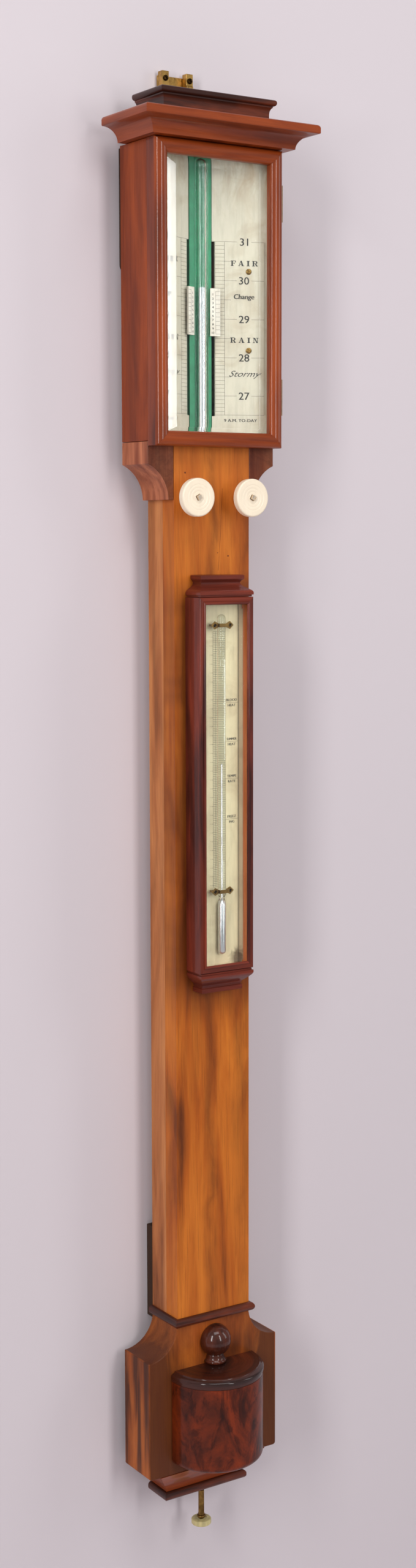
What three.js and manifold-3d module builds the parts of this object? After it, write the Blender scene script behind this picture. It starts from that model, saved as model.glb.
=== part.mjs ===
// Victorian stick barometer, in millimetres.
// X runs to the right, Y runs back to the wall (y = 0) and Z runs up.
// The origin is on the rear face of the hanger plate, level with its two screws.

import * as THREE from 'three';
import { mergeVertices } from 'three/addons/utils/BufferGeometryUtils.js';
import Module from 'manifold-3d';

const wasm = await Module();
wasm.setup();

// Clearances
const seatGap = 0.3;
const runGap = 0.3;
const overrun = 3;

// Case
const wallStandoff = 7.5;
const caseDepth = 33;
const trunkWidth = 60;
const trunkHeight = 569.6;
const trunkBackDepth = 18.5;
const headWidth = 100;
const headHeight = 230.6;
const headSideThick = 5;
const headBackThick = 6;
const headRailHeight = 6;
const shoulderRadius = 25;
const shoulderFootWidth = 68.4;
const floorRise = 3;
const upperPadWidth = 93.4;
const upperPadHeight = 81;
const padCornerRadius = 6;
const lowerPadRise = 61.7;
const lowerPadHeight = 67;

// Hanger
const hangerDrop = 15.4;
const hangerShift = -4.5;
const hangerThick = 1.5;
const hangerPlateWidth = 24.6;
const hangerPlateRise = 2.5;
const hangerPlateDrop = 68;
const postSpacing = 19;
const postWidth = 5.3;
const postDepth = 5.4;
const postRise = 4.7;
const postDrop = 20;
const postLedgeDrop = 8;
const postLedgeDepth = 0.7;
const notchWidth = 2.2;
const notchHeight = 3;
const notchSpacing = 4.2;
const notchDrop = 5.1;
const hangerScrewRadius = 1.9;
const hangerScrewHead = 0.8;
const hangerShankRadius = 1.1;

// Pediment
const capWidth = 90;
const capReach = 11.2;
const capSetback = 7.5;
const capNoseHeight = 4.2;
const capNoseRound = 1.9;
const capFilletHeight = 0.9;
const capFilletInset = 2;
const capNeckInset = 3.8;
const capNeckHeight = 11.3;
const corniceWidth = 135.2;
const corniceReach = 29.5;
const corniceSetback = 6.5;
const corniceNoseHeight = 6;
const corniceNoseRound = 2.6;
const corniceNoseEdge = 0.8;
const corniceCoveHeight = 9.5;
const corniceSoffitInset = 12.1;

// Door
const doorHeight = 195.4;
const doorThick = 8.7;
const doorRail = 9.7;
const doorCrown = 3.7;
const doorLip = 3;
const doorRebate = 3.7;
const paneThick = 3;
const paneBevelWidth = 9;
const paneBevelDepth = 1.3;
const hingeInset = 34;
const hingeLength = 24;
const hingeLeafWidth = 8;
const hingeLeafThick = 1;
const knuckleRadius = 1.6;
const pinRadius = 0.8;

// Register plates, verniers and their racks
const plateInnerX = 11;
const plateInnerDepth = 14.3;
const plateCantDegrees = 22.4;
const plateThick = 2;
const plateLugX = 9.2;
const slotRoom = 0.6;
const plateScrewX = 32.5;
const upperScrewDrop = 78.5;
const lowerScrewDrop = 130.5;
const plateScrewHeadRadius = 1.9;
const plateScrewHead = 0.9;
const plateShankRadius = 0.9;
const plateShankLength = 4;
const vernierWidth = 6.8;
const vernierLength = 31.3;
const vernierThick = 1.2;
const vernierStandoff = 2.2;
const vernierInnerX = 7.6;
const mercuryDrop = 136.9;
const indexDrop = 0.6;
const armThick = 1.2;
const armHeight = 12;
const armInnerX = 9.3;
const knobSpacing = 43;
const knobDrop = 33.5;
const gearModule = 0.75;
const pinionTeeth = 12;
const rackBodyWidth = 2.6;
const rackDepth = 4;
const rackSetback = 8.5;
const rackTail = 5.5;
const rackTravelUp = 30.5;
const rackTravelDown = 52;
const toothHeightShare = 0.8;
const toothRootShare = 1.05;
const toothTipShare = 0.11;
const toothFootShare = 0.25;

// Setting knobs
const knobRadius = 12.65;
const knobThick = 5;
const knobReach = 12.5;
const knobBossRadius = 4.6;
const knobLift = 1;
const knobCrown = 0.9;
const arborRadius = 2;
const arborSquare = 2.9;
const arborProud = 1.5;
const arborTail = 4;
const arborTurnDegrees = 30;

// Tube and cistern
const tubeRadius = 4.5;
const boreRadius = 2.5;
const tubeSetback = 13.5;
const tubeTopGap = 2;
const backingWidth = 17.4;
const backingSetback = 14.9;
const channelSlack = 0.8;
const cisternDrop = 42.3;
const cisternRadius = 17.5;
const cisternWall = 4.6;
const cisternRoof = 3.5;
const poolDrop = 4.6;
const tubeDipShare = 0.48;
const bagHeight = 11.7;
const bagRadius = 13.2;
const padPlateRise = 4;
const padPlateThick = 2.7;
const padPlateRadius = 12;

// Portable screw
const screwSetback = 16.5;
const stemRadius = 2.1;
const stemNeckRadius = 1.6;
const stemNeckHeight = 2;
const stemDrop = 23.4;
const collarRadius = 3.3;
const collarHeight = 4;
const tailRadius = 1.5;
const tailLength = 2.6;
const tailDiscRadius = 7.15;
const tailDiscHeight = 4;
const tailDiscRound = 0.9;
const bushRadius = 4.5;
const bushHeight = 9;

// Thermometer
const boxWidth = 43.2;
const boxDrop = 64.4;
const boxHeight = 254;
const boxReach = 18.7;
const boxRail = 5;
const boxLip = 1.5;
const boxRebate = 2.4;
const boxPaneThick = 2.4;
const boxPaneBevel = 6.6;
const boxPaneBevelDepth = 0.8;
const boxScaleThick = 2;
const headCapHeight = 14.5;
const footCapHeight = 15.2;
const capMouldInset = 5.9;
const capFrontShare = 1.35;
const thermTubeRadius = 2.8;
const thermBulbRadius = 2.8;
const thermBulbHeight = 38;
const thermNeckRadius = 1.9;
const thermNeckHeight = 3.5;
const thermTopInset = 11.6;
const thermBottomInset = 10.6;
const clipWidth = 18;
const clipHeight = 5.4;
const clipThick = 0.7;
const clipLegWidth = 1.4;
const clipBridgeHeight = 2.4;
const clipEarDrop = 2.4;
const upperClipDrop = 18.8;
const lowerClipRise = 54.5;

// Base
const baseWidth = 107;
const baseHeight = 108.3;
const baseCornerRadius = 2;
const astragalHeight = 6.6;
const astragalRise = 4.5;
const astragalReach = 3.3;
const coveHeight = 18;
const coveTopWidth = 88;
const coveInset = 11.6;
const baseMouldHeight = 6.6;
const baseMouldReach = 2.2;
const baseMouldRound = 2.6;
const coverRadius = 35;
const coverWall = 4;
const coverFootRise = 7;
const coverFootRound = 5;
const coverDrop = 32.6;
const rimReach = 0.5;
const rimHeight = 7;
const rimTopInset = 3;
const ballRadius = 11.4;
const ballProud = 1.8;
const ballDrop = 16.3;
const ballNeckRadius = 7.4;
const ballNeckWaist = 6;

// Facet counts
const roundSides = 32;
const rodSides = 16;
const arcSteps = 6;

// Heights of the stack, from the cap down to the foot
const capTopZ = -hangerDrop;
const capNoseZ = capTopZ - capNoseHeight;
const neckTopZ = capNoseZ - capFilletHeight;
const corniceTopZ = neckTopZ - capNeckHeight;
const corniceNoseZ = corniceTopZ - corniceNoseHeight;
const soffitZ = corniceNoseZ - corniceCoveHeight;
const shoulderFootZ = soffitZ - headHeight;
const trunkFootZ = shoulderFootZ - trunkHeight;
const baseFootZ = trunkFootZ - baseHeight;
const coveFootZ = baseFootZ - coveHeight;
const mouldFootZ = coveFootZ - baseMouldHeight;
const doorTopZ = soffitZ - seatGap;
const doorFootZ = doorTopZ - doorHeight;
const floorZ = doorFootZ + floorRise;
const railFootZ = soffitZ - headRailHeight;

// Depths
const backY = -wallStandoff;
const frontY = backY - caseDepth;
const seamY = backY - trunkBackDepth;
const doorBackY = frontY - seatGap;
const doorFaceY = doorBackY - doorThick;
const paneFrontY = doorFaceY + doorLip;
const headBackY = backY - headBackThick;
const tubeY = frontY + tubeSetback;
const screwY = frontY + screwSetback;

// Half-widths
const trunkHalf = trunkWidth / 2;
const headHalf = headWidth / 2;
const headInnerHalf = headHalf - headSideThick;
const baseHalf = baseWidth / 2;
const knobX = knobSpacing / 2;
const knobZ = doorFootZ - knobDrop;
const mercuryTopZ = -mercuryDrop;

// Geometry helpers

// Turns the faces of a closed geometry outward when its volume comes out negative.
function outward(geometry) {
  const merged = geometry.clone();
  merged.deleteAttribute('normal');
  merged.deleteAttribute('uv');
  const closed = mergeVertices(merged, 1e-5);
  const place = closed.attributes.position;
  const index = Array.from(closed.index.array);
  const a = new THREE.Vector3();
  const b = new THREE.Vector3();
  const c = new THREE.Vector3();
  let volume = 0;
  for (let i = 0; i < index.length; i += 3) {
    a.fromBufferAttribute(place, index[i]);
    b.fromBufferAttribute(place, index[i + 1]);
    c.fromBufferAttribute(place, index[i + 2]);
    volume += a.dot(b.cross(c));
  }
  if (volume < 0) {
    index.reverse();
  }
  closed.setIndex(index);
  return closed;
}

function toManifold(geometry) {
  const closed = outward(geometry);
  const vertProperties = new Float32Array(closed.attributes.position.array);
  const triVerts = new Uint32Array(closed.index.array);
  return new wasm.Manifold(new wasm.Mesh({ numProp: 3, vertProperties, triVerts }));
}

function toGeometry(manifold) {
  const mesh = manifold.getMesh();
  const geometry = new THREE.BufferGeometry();
  geometry.setAttribute('position', new THREE.BufferAttribute(new Float32Array(mesh.vertProperties), 3));
  geometry.setIndex(Array.from(mesh.triVerts));
  return geometry;
}

function cut(body, ...tools) {
  let solid = toManifold(body);
  for (const tool of tools) {
    solid = solid.subtract(toManifold(tool));
  }
  return toGeometry(solid);
}

function join(body, ...others) {
  let solid = toManifold(body);
  for (const other of others) {
    solid = solid.add(toManifold(other));
  }
  return toGeometry(solid);
}

function keep(body, region) {
  return toGeometry(toManifold(body).intersect(toManifold(region)));
}

function box(x0, x1, y0, y1, z0, z1) {
  const geometry = new THREE.BoxGeometry(Math.abs(x1 - x0), Math.abs(y1 - y0), Math.abs(z1 - z0));
  return geometry.translate((x0 + x1) / 2, (y0 + y1) / 2, (z0 + z1) / 2);
}

// A face outline in x and z, given depth from y0 back to y1.
function panel(shape, y0, y1) {
  const geometry = new THREE.ExtrudeGeometry(shape, {
    depth: y1 - y0, bevelEnabled: false, curveSegments: arcSteps,
  });
  return geometry.rotateX(Math.PI / 2).translate(0, y1, 0);
}

// A plan outline in x and y, given height from z0 up to z1.
function prism(shape, z0, z1) {
  const geometry = new THREE.ExtrudeGeometry(shape, {
    depth: z1 - z0, bevelEnabled: false, curveSegments: arcSteps,
  });
  return geometry.translate(0, 0, z0);
}

// Goes round the two lower corners of a face outline, from left to right.
function roundedFoot(shape, half, foot, radius) {
  const left = -half + radius;
  shape.absarc(left, foot + radius, radius, Math.PI, 1.5 * Math.PI, false);
  shape.absarc(-left, foot + radius, radius, 1.5 * Math.PI, 2 * Math.PI, false);
}

function shapeOf(points) {
  return new THREE.Shape(points.map(([u, v]) => new THREE.Vector2(u, v)));
}

// A profile of radius and height turned about an upright axis.
function turned(profile, x, y, sides) {
  const points = profile.map(([r, z]) => new THREE.Vector2(r, z));
  return new THREE.LatheGeometry(points, sides).rotateX(Math.PI / 2).translate(x, y, 0);
}

function rod(radius, x, y, z0, z1, sides = rodSides) {
  return turned([[0, z0], [radius, z0], [radius, z1], [0, z1]], x, y, sides);
}

// A profile of radius and depth turned about an axis that runs front to back.
function turnedForward(profile, x, z, sides) {
  const points = profile.map(([r, y]) => new THREE.Vector2(r, y));
  return new THREE.LatheGeometry(points, sides).translate(x, 0, z);
}

function rodForward(radius, x, z, y0, y1) {
  return turnedForward([[0, y0], [radius, y0], [radius, y1], [0, y1]], x, z, rodSides);
}

function arcPoints(centreU, centreV, radius, start, end, steps = arcSteps) {
  const points = [];
  for (let i = 0; i <= steps; i += 1) {
    const angle = start + (end - start) * i / steps;
    points.push([centreU + radius * Math.cos(angle), centreV + radius * Math.sin(angle)]);
  }
  return points;
}

// A solid of rectangles joined one above the other: each level has a half-width, a front and a height.
function stack(levels, back) {
  const corners = [];
  for (const [half, front, z] of levels) {
    corners.push(-half, front, z, half, front, z, half, back, z, -half, back, z);
  }
  const index = [0, 2, 1, 0, 3, 2];
  for (let i = 0; i + 1 < levels.length; i += 1) {
    for (let side = 0; side < 4; side += 1) {
      const a = 4 * i + side;
      const b = 4 * i + (side + 1) % 4;
      index.push(a, b, b + 4, a, b + 4, a + 4);
    }
  }
  const top = 4 * (levels.length - 1);
  index.push(top, top + 1, top + 2, top, top + 2, top + 3);
  const geometry = new THREE.BufferGeometry();
  geometry.setAttribute('position', new THREE.Float32BufferAttribute(corners, 3));
  geometry.setIndex(index);
  return geometry;
}

// A mitred frame: the closed profile of inset and depth runs round a rectangle in x and z.
function mitred(profile, half, low, high) {
  const corners = [];
  for (const [inset, y] of profile) {
    corners.push(-half + inset, y, low + inset, half - inset, y, low + inset);
    corners.push(half - inset, y, high - inset, -half + inset, y, high - inset);
  }
  const index = [];
  const count = profile.length;
  for (let i = 0; i < count; i += 1) {
    const next = (i + 1) % count;
    for (let side = 0; side < 4; side += 1) {
      const a = 4 * i + side;
      const b = 4 * i + (side + 1) % 4;
      const c = 4 * next + (side + 1) % 4;
      const d = 4 * next + side;
      index.push(a, b, c, a, c, d);
    }
  }
  const geometry = new THREE.BufferGeometry();
  geometry.setAttribute('position', new THREE.Float32BufferAttribute(corners, 3));
  geometry.setIndex(index);
  return geometry;
}

// Levels of a nose with rounded upper and lower edges, from its underside to its top.
function noseLevels(half, front, low, high, lowRound, highRound) {
  const lower = arcPoints(-lowRound, low + lowRound, lowRound, -Math.PI / 2, 0, arcSteps / 2);
  const upper = arcPoints(-highRound, high - highRound, highRound, 0, Math.PI / 2, arcSteps / 2);
  return [...lower, ...upper].map(([out, z]) => [half + out, front - out, z]);
}

// A pane with its front edges bevelled.
function bevelledPane(half, low, high, front, thick, bevel, depth) {
  const levels = [
    [0, front + thick],
    [0, front + depth],
    [bevel, front],
  ];
  const corners = [];
  for (const [inset, y] of levels) {
    corners.push(-half + inset, y, low + inset, half - inset, y, low + inset);
    corners.push(half - inset, y, high - inset, -half + inset, y, high - inset);
  }
  const index = [0, 1, 2, 0, 2, 3, 8, 10, 9, 8, 11, 10];
  for (let i = 0; i < 2; i += 1) {
    for (let side = 0; side < 4; side += 1) {
      const a = 4 * i + side;
      const b = 4 * i + (side + 1) % 4;
      index.push(a, b + 4, b, a, a + 4, b + 4);
    }
  }
  const geometry = new THREE.BufferGeometry();
  geometry.setAttribute('position', new THREE.Float32BufferAttribute(corners, 3));
  geometry.setIndex(index);
  return geometry;
}

function mirrored(geometry) {
  return geometry.clone().scale(-1, 1, 1);
}

// Materials
const finishes = {
  walnut: [0xb5702e, 0.35, 0],
  mahogany: [0x5a2417, 0.3, 0],
  darkWood: [0x32170f, 0.3, 0],
  burr: [0x4a2a18, 0.25, 0],
  brass: [0xc9a24e, 0.3, 1],
  bone: [0xe8dec4, 0.4, 0],
  boneDisc: [0xf1e6d0, 0.35, 0],
  glass: [0xdfeaea, 0.05, 0],
  mercury: [0xc6c9ce, 0.1, 1],
  greenPaint: [0x2f7a55, 0.5, 0],
  boxwood: [0xc89d5c, 0.5, 0],
  leather: [0x8a6a48, 0.8, 0],
};

const barometer = new THREE.Group();

function add(name, geometry, finish) {
  const [color, roughness, metalness] = finishes[finish];
  const closed = outward(geometry);
  closed.computeVertexNormals();
  const mesh = new THREE.Mesh(closed, new THREE.MeshStandardMaterial({ color, roughness, metalness }));
  mesh.name = name;
  barometer.add(mesh);
}

// Racks and verniers: shared sizes
const pitchRadius = gearModule * pinionTeeth / 2;
const toothPitch = gearModule * Math.PI;
const toothPhase = 1 / 2;
const rackPitchX = knobX - pitchRadius;
const rackRootX = rackPitchX - gearModule * toothRootShare;
const rackInnerX = rackRootX - rackBodyWidth;
const rackTipX = rackPitchX + gearModule * toothHeightShare;
const rackBackY = backY - rackSetback;
const rackFrontY = rackBackY - rackDepth;
const rackFootZ = knobZ - rackTravelUp - rackTail;
const vernierTopZ = mercuryTopZ - indexDrop;
const armTopZ = vernierTopZ - (vernierLength - armHeight) / 2;

const degree = Math.PI / 180;

// Wall pads and case boards

function upperPad() {
  const half = upperPadWidth / 2;
  const top = soffitZ - seatGap;
  const foot = top - upperPadHeight;
  const shape = new THREE.Shape();
  shape.moveTo(-half, top);
  shape.lineTo(-half, foot + padCornerRadius);
  roundedFoot(shape, half, foot, padCornerRadius);
  shape.lineTo(half, top);
  const recessHalf = hangerPlateWidth / 2 + seatGap;
  const recess = box(
    hangerShift - recessHalf, hangerShift + recessHalf,
    -hangerThick - seatGap, overrun, -hangerPlateDrop - seatGap, top + overrun,
  );
  return cut(panel(shape, backY + seatGap, 0), recess);
}

function lowerPad() {
  const top = trunkFootZ + lowerPadRise;
  return box(-trunkHalf, trunkHalf, backY + seatGap, 0, top - lowerPadHeight, top);
}

function trunkFront() {
  const board = box(-trunkHalf, trunkHalf, frontY, seamY - seatGap, trunkFootZ + seatGap, floorZ);
  const half = tubeRadius + channelSlack;
  const channel = box(-half, half, tubeY - half, seamY + overrun, trunkFootZ - overrun, floorZ + overrun);
  const holes = [-knobX, knobX].map((x) => rodForward(
    arborRadius + runGap, x, knobZ, frontY - overrun, seamY + overrun,
  ));
  return cut(board, channel, ...holes);
}

function trunkBack() {
  const board = box(-trunkHalf, trunkHalf, seamY, backY, trunkFootZ + seatGap, floorZ);
  const half = tubeRadius + channelSlack;
  const channel = box(-half, half, seamY - overrun, tubeY + half, trunkFootZ - overrun, floorZ + overrun);
  const pocketRadius = pitchRadius + gearModule + runGap;
  const pocketBack = rackBackY + runGap;
  const cuts = [channel];
  for (const side of [-1, 1]) {
    const groove = box(
      side * (rackInnerX - runGap), side * (rackTipX + runGap), seamY - overrun, pocketBack,
      rackFootZ - rackTravelDown - runGap, floorZ + overrun,
    );
    const pocket = rodForward(pocketRadius, side * knobX, knobZ, seamY - overrun, pocketBack);
    const bearingBack = rackBackY + arborTail + runGap;
    const bearing = rodForward(arborRadius + runGap, side * knobX, knobZ, seamY, bearingBack);
    cuts.push(groove, pocket, bearing);
  }
  return cut(board, ...cuts);
}

function shoulderBlock() {
  const top = floorZ;
  const centreX = shoulderFootWidth / 2 + shoulderRadius;
  const reach = Math.acos((centreX - headHalf) / shoulderRadius);
  const inner = trunkHalf + seatGap;
  const shape = new THREE.Shape();
  shape.moveTo(inner, top);
  shape.lineTo(inner, shoulderFootZ);
  shape.absarc(centreX, shoulderFootZ, shoulderRadius, Math.PI, Math.PI - reach, true);
  shape.lineTo(headHalf, top);
  return panel(shape, frontY, backY);
}

function headSide() {
  return box(headInnerHalf, headHalf, frontY, backY, floorZ + seatGap, soffitZ - seatGap);
}

function headBack() {
  const half = headInnerHalf - seatGap;
  return box(-half, half, headBackY, backY, floorZ + seatGap, soffitZ - seatGap);
}

function headRail() {
  const half = headInnerHalf - seatGap;
  return box(-half, half, frontY, headBackY - seatGap, railFootZ, soffitZ - seatGap);
}

// Pediment

const capNeckShares = [
  [0, 0.55], [0.08, 0.72], [0.2, 0.88], [0.38, 0.98], [0.6, 1], [0.8, 0.93], [0.92, 0.78], [1, 0.62],
];

function cap() {
  const half = capWidth / 2;
  const front = frontY - capReach;
  const foot = corniceTopZ + seatGap;
  const levels = capNeckShares.map(([rise, inset]) => [
    half - capNeckInset * inset, front + capNeckInset * inset, foot + (neckTopZ - foot) * rise,
  ]);
  levels.push([half - capFilletInset, front + capFilletInset, neckTopZ]);
  levels.push([half - capFilletInset, front + capFilletInset, capNoseZ]);
  levels.push(...noseLevels(half, front, capNoseZ, capTopZ, capNoseRound, capNoseRound));
  return stack(levels, backY - capSetback);
}

function cornice() {
  const half = corniceWidth / 2;
  const front = frontY - corniceReach;
  const sweep = corniceSoffitInset - corniceNoseEdge;
  const levels = [];
  for (let i = 0; i <= arcSteps; i += 1) {
    const angle = Math.PI / 2 * i / arcSteps;
    const inset = corniceSoffitInset - sweep * (1 - Math.cos(angle));
    levels.push([half - inset, front + inset, soffitZ + corniceCoveHeight * Math.sin(angle)]);
  }
  const nose = noseLevels(half, front, corniceNoseZ, corniceTopZ, corniceNoseEdge, corniceNoseRound);
  levels.push(...nose.slice(1));
  return stack(levels, backY - corniceSetback);
}

// Hanger

function hangerPlate() {
  const half = hangerPlateWidth / 2;
  const plate = box(
    hangerShift - half, hangerShift + half, -hangerThick, 0, -hangerPlateDrop, hangerPlateRise,
  );
  const notches = [-1, 1].map((side) => {
    const x = hangerShift + side * notchSpacing / 2;
    const shape = shapeOf([
      [x - notchWidth / 2, -notchDrop - notchHeight],
      [x + notchWidth / 2, -notchDrop - notchHeight],
      [x, -notchDrop],
    ]);
    return panel(shape, -hangerThick - overrun, overrun);
  });
  const holes = [-1, 1].map((side) => hangerHole(side));
  return cut(plate, ...notches, ...holes);
}

function postX(side) {
  return hangerShift + side * postSpacing / 2;
}

function hangerHole(side) {
  return rodForward(hangerShankRadius + seatGap, postX(side), 0, -hangerThick - postDepth - overrun, overrun);
}

function hangerPost(side) {
  const x = postX(side);
  const rear = -hangerThick - seatGap;
  const face = -hangerThick - postDepth;
  const upper = box(x - postWidth / 2, x + postWidth / 2, face, rear, -postDrop, postRise);
  const lower = box(
    x - postWidth / 2, x + postWidth / 2, face - postLedgeDepth, rear, -postDrop, postRise - postLedgeDrop,
  );
  return cut(join(upper, lower), hangerHole(side));
}

function hangerScrew(side) {
  const seat = -hangerThick - postDepth - seatGap;
  const face = seat - hangerScrewHead;
  const profile = [
    [0, face],
    [hangerScrewRadius - hangerScrewHead / 2, face],
    [hangerScrewRadius, seat - hangerScrewHead / 2],
    [hangerScrewRadius, seat],
    [hangerShankRadius, seat],
    [hangerShankRadius, -seatGap],
    [0, -seatGap],
  ];
  return turnedForward(profile, postX(side), 0, rodSides);
}

// Door

const rebateInset = doorRail - doorRebate;

function doorFrame() {
  const profile = [[0, doorBackY]];
  for (let i = 0; i <= arcSteps; i += 1) {
    const angle = Math.PI * i / arcSteps;
    profile.push([doorRail / 2 * (1 - Math.cos(angle)), doorFaceY - doorCrown * Math.sin(angle)]);
  }
  profile.push([doorRail, paneFrontY - seatGap]);
  profile.push([rebateInset, paneFrontY - seatGap]);
  profile.push([rebateInset, doorBackY]);
  return mitred(profile, headHalf, doorFootZ, doorTopZ);
}

function doorPane() {
  const inset = rebateInset + seatGap;
  return bevelledPane(
    headHalf - inset, doorFootZ + inset, doorTopZ - inset,
    paneFrontY, paneThick, paneBevelWidth, paneBevelDepth,
  );
}

// The hinges stand on the right side: the barrel's axis is level with the door's back.
const leafInnerX = headHalf + seatGap;
const barrelX = leafInnerX + knuckleRadius;
const barrelY = (frontY + doorBackY) / 2;
const knuckleHeight = (hingeLength - 2 * runGap) / 3;

function barrel(radius, z0, z1) {
  return rod(radius, barrelX, barrelY, z0, z1);
}

function fixedLeaf(centreZ) {
  const foot = centreZ - hingeLength / 2;
  const top = centreZ + hingeLength / 2;
  const clearY = barrelY + knuckleRadius + runGap;
  const leafOuterX = leafInnerX + hingeLeafThick;
  const leaf = box(leafInnerX, leafOuterX, clearY, clearY + hingeLeafWidth, foot, top);
  const lowerTab = box(leafInnerX, leafOuterX, barrelY, clearY + seatGap, foot, foot + knuckleHeight);
  const upperTab = box(leafInnerX, leafOuterX, barrelY, clearY + seatGap, top - knuckleHeight, top);
  const lowerKnuckle = barrel(knuckleRadius, foot, foot + knuckleHeight);
  const upperKnuckle = barrel(knuckleRadius, top - knuckleHeight, top);
  return join(leaf, lowerTab, upperTab, lowerKnuckle, upperKnuckle, barrel(pinRadius, foot, top));
}

function doorLeaf(centreZ) {
  const foot = centreZ - hingeLength / 2;
  const low = foot + knuckleHeight + runGap;
  const high = low + knuckleHeight;
  const clearY = barrelY - knuckleRadius - runGap;
  const leafOuterX = leafInnerX + hingeLeafThick;
  const width = clearY - doorFaceY;
  const leaf = box(leafInnerX, leafOuterX, clearY - width, clearY, foot, foot + hingeLength);
  const tab = box(leafInnerX, leafOuterX, clearY - seatGap, barrelY, low, high);
  const bore = barrel(pinRadius + runGap, foot - overrun, foot + hingeLength + overrun);
  return cut(join(leaf, tab, barrel(knuckleRadius, low, high)), bore);
}

// Register plates: the front face runs out and forward from its inner edge.
const plateInnerY = frontY + plateInnerDepth;
const cant = plateCantDegrees * degree;
const plateFootZ = floorZ + seatGap;
const plateTopZ = railFootZ - seatGap;
const plateSpan = (headInnerHalf - seatGap - plateThick * Math.sin(cant) - plateInnerX) / Math.cos(cant);

// A point of the right plate's plan: along the face from its inner edge, and out from the face.
function platePoint(along, out) {
  return [
    plateInnerX + along * Math.cos(cant) - out * Math.sin(cant),
    plateInnerY - along * Math.sin(cant) - out * Math.cos(cant),
  ];
}

function slab(along0, along1, out0, out1, z0, z1) {
  const shape = shapeOf([
    platePoint(along0, out0), platePoint(along1, out0), platePoint(along1, out1), platePoint(along0, out1),
  ]);
  return prism(shape, z0, z1);
}

// A plate whose inner edge is cut back between two lugs, where the vernier's arm runs.
function registerPlate() {
  const lug = (plateLugX - plateInnerX) / Math.cos(cant);
  const whole = slab(lug, plateSpan, -plateThick, 0, plateFootZ, plateTopZ);
  const slotTop = vernierTopZ + rackTravelUp + slotRoom;
  const slotFoot = vernierTopZ - vernierLength - rackTravelDown - slotRoom;
  return cut(whole, slab(lug - overrun, 0, -plateThick - overrun, overrun, slotFoot, slotTop));
}

function onPlate(geometry, drop) {
  const along = (plateScrewX - plateInnerX) / Math.cos(cant);
  const [x, y] = platePoint(along, 0);
  return geometry.rotateZ(-cant).translate(x, y, soffitZ - drop);
}

function plateScrew(drop) {
  const face = -seatGap - plateScrewHead;
  const profile = [
    [0, face],
    [plateScrewHeadRadius - plateScrewHead / 2, face],
    [plateScrewHeadRadius, -seatGap - plateScrewHead / 2],
    [plateScrewHeadRadius, -seatGap],
    [plateShankRadius, -seatGap],
    [plateShankRadius, plateShankLength],
    [0, plateShankLength],
  ];
  return onPlate(turnedForward(profile, 0, 0, rodSides), drop);
}

function rightPlate() {
  const holes = [upperScrewDrop, lowerScrewDrop].map((drop) => onPlate(
    rodForward(plateShankRadius + seatGap, 0, 0, -overrun, plateThick + overrun), drop,
  ));
  return cut(registerPlate(), ...holes);
}

function vernier() {
  const along = (vernierInnerX - plateInnerX) / Math.cos(cant);
  return slab(
    along, along + vernierWidth, vernierStandoff, vernierStandoff + vernierThick,
    vernierTopZ - vernierLength, vernierTopZ,
  );
}

// Rack with the arm that carries the vernier through the gap beside the plate.
function rack() {
  const toothFoot = toothPitch * toothFootShare;
  const toothTip = toothPitch * toothTipShare;
  const points = [[rackInnerX, rackFootZ], [rackRootX, rackFootZ]];
  const first = Math.ceil((rackFootZ + toothFoot - knobZ) / toothPitch - toothPhase);
  const last = Math.floor((rackTravelDown + rackTail) / toothPitch - toothPhase);
  for (let i = first; i <= last; i += 1) {
    const z = knobZ + (i + toothPhase) * toothPitch;
    points.push([rackRootX, z - toothFoot]);
    points.push([rackTipX, z - toothTip]);
    points.push([rackTipX, z + toothTip]);
    points.push([rackRootX, z + toothFoot]);
  }
  points.push([rackRootX, armTopZ], [rackInnerX, armTopZ]);
  const bar = panel(shapeOf(points), rackFrontY, rackBackY);
  const along = (armInnerX - plateInnerX) / Math.cos(cant);
  const [, tipY] = platePoint(along, vernierStandoff - seatGap);
  const slope = Math.tan(cant);
  const arm = shapeOf([
    [armInnerX, tipY],
    [armInnerX + armThick, tipY - armThick * slope],
    [armInnerX + armThick, rackFrontY],
    [rackRootX, rackFrontY],
    [rackRootX, rackBackY],
    [armInnerX, rackBackY],
  ]);
  return join(bar, prism(arm, armTopZ - armHeight, armTopZ));
}

// Arbor with its pinion and the squared front end that holds the knob.
function arbor() {
  const rear = rackBackY + arborTail;
  const front = frontY - knobReach - knobThick - arborProud;
  const shoulder = frontY - knobLift + seatGap;
  const tipRadius = pitchRadius + gearModule * toothHeightShare;
  const rootRadius = pitchRadius - gearModule * toothRootShare;
  const points = [];
  for (let i = 0; i < pinionTeeth; i += 1) {
    const angle = Math.PI + 2 * Math.PI * i / pinionTeeth;
    const footHalf = toothPitch * toothFootShare / pitchRadius;
    const tipHalf = toothPitch * toothTipShare / tipRadius;
    const flanks = [
      [rootRadius, -footHalf], [tipRadius, -tipHalf], [tipRadius, tipHalf], [rootRadius, footHalf],
    ];
    for (const [radius, turn] of flanks) {
      points.push([knobX + radius * Math.cos(angle + turn), knobZ + radius * Math.sin(angle + turn)]);
    }
  }
  const pinion = panel(shapeOf(points), rackFrontY, rackBackY);
  const shaft = rodForward(arborRadius, knobX, knobZ, shoulder, rear);
  return join(shaft, pinion, squareBar(arborSquare, front, shoulder + overrun));
}

function squareBar(side, y0, y1) {
  const bar = box(-side / 2, side / 2, y0, y1, -side / 2, side / 2);
  return bar.rotateY(arborTurnDegrees * degree).translate(knobX, 0, knobZ);
}

function knob() {
  const rear = frontY - knobReach;
  const front = rear - knobThick;
  const edge = knobCrown / 2;
  const profile = [
    [0, front],
    [knobRadius / 2, front],
    [knobRadius - knobCrown, front + edge],
    [knobRadius, front + knobCrown + edge],
    [knobRadius, rear - edge],
    [knobRadius - edge, rear],
    [knobBossRadius, rear],
    [knobBossRadius, frontY - knobLift],
    [0, frontY - knobLift],
  ];
  const hole = squareBar(arborSquare + 2 * seatGap, front - overrun, frontY + overrun);
  return cut(turnedForward(profile, knobX, knobZ, roundSides), hole);
}

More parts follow.
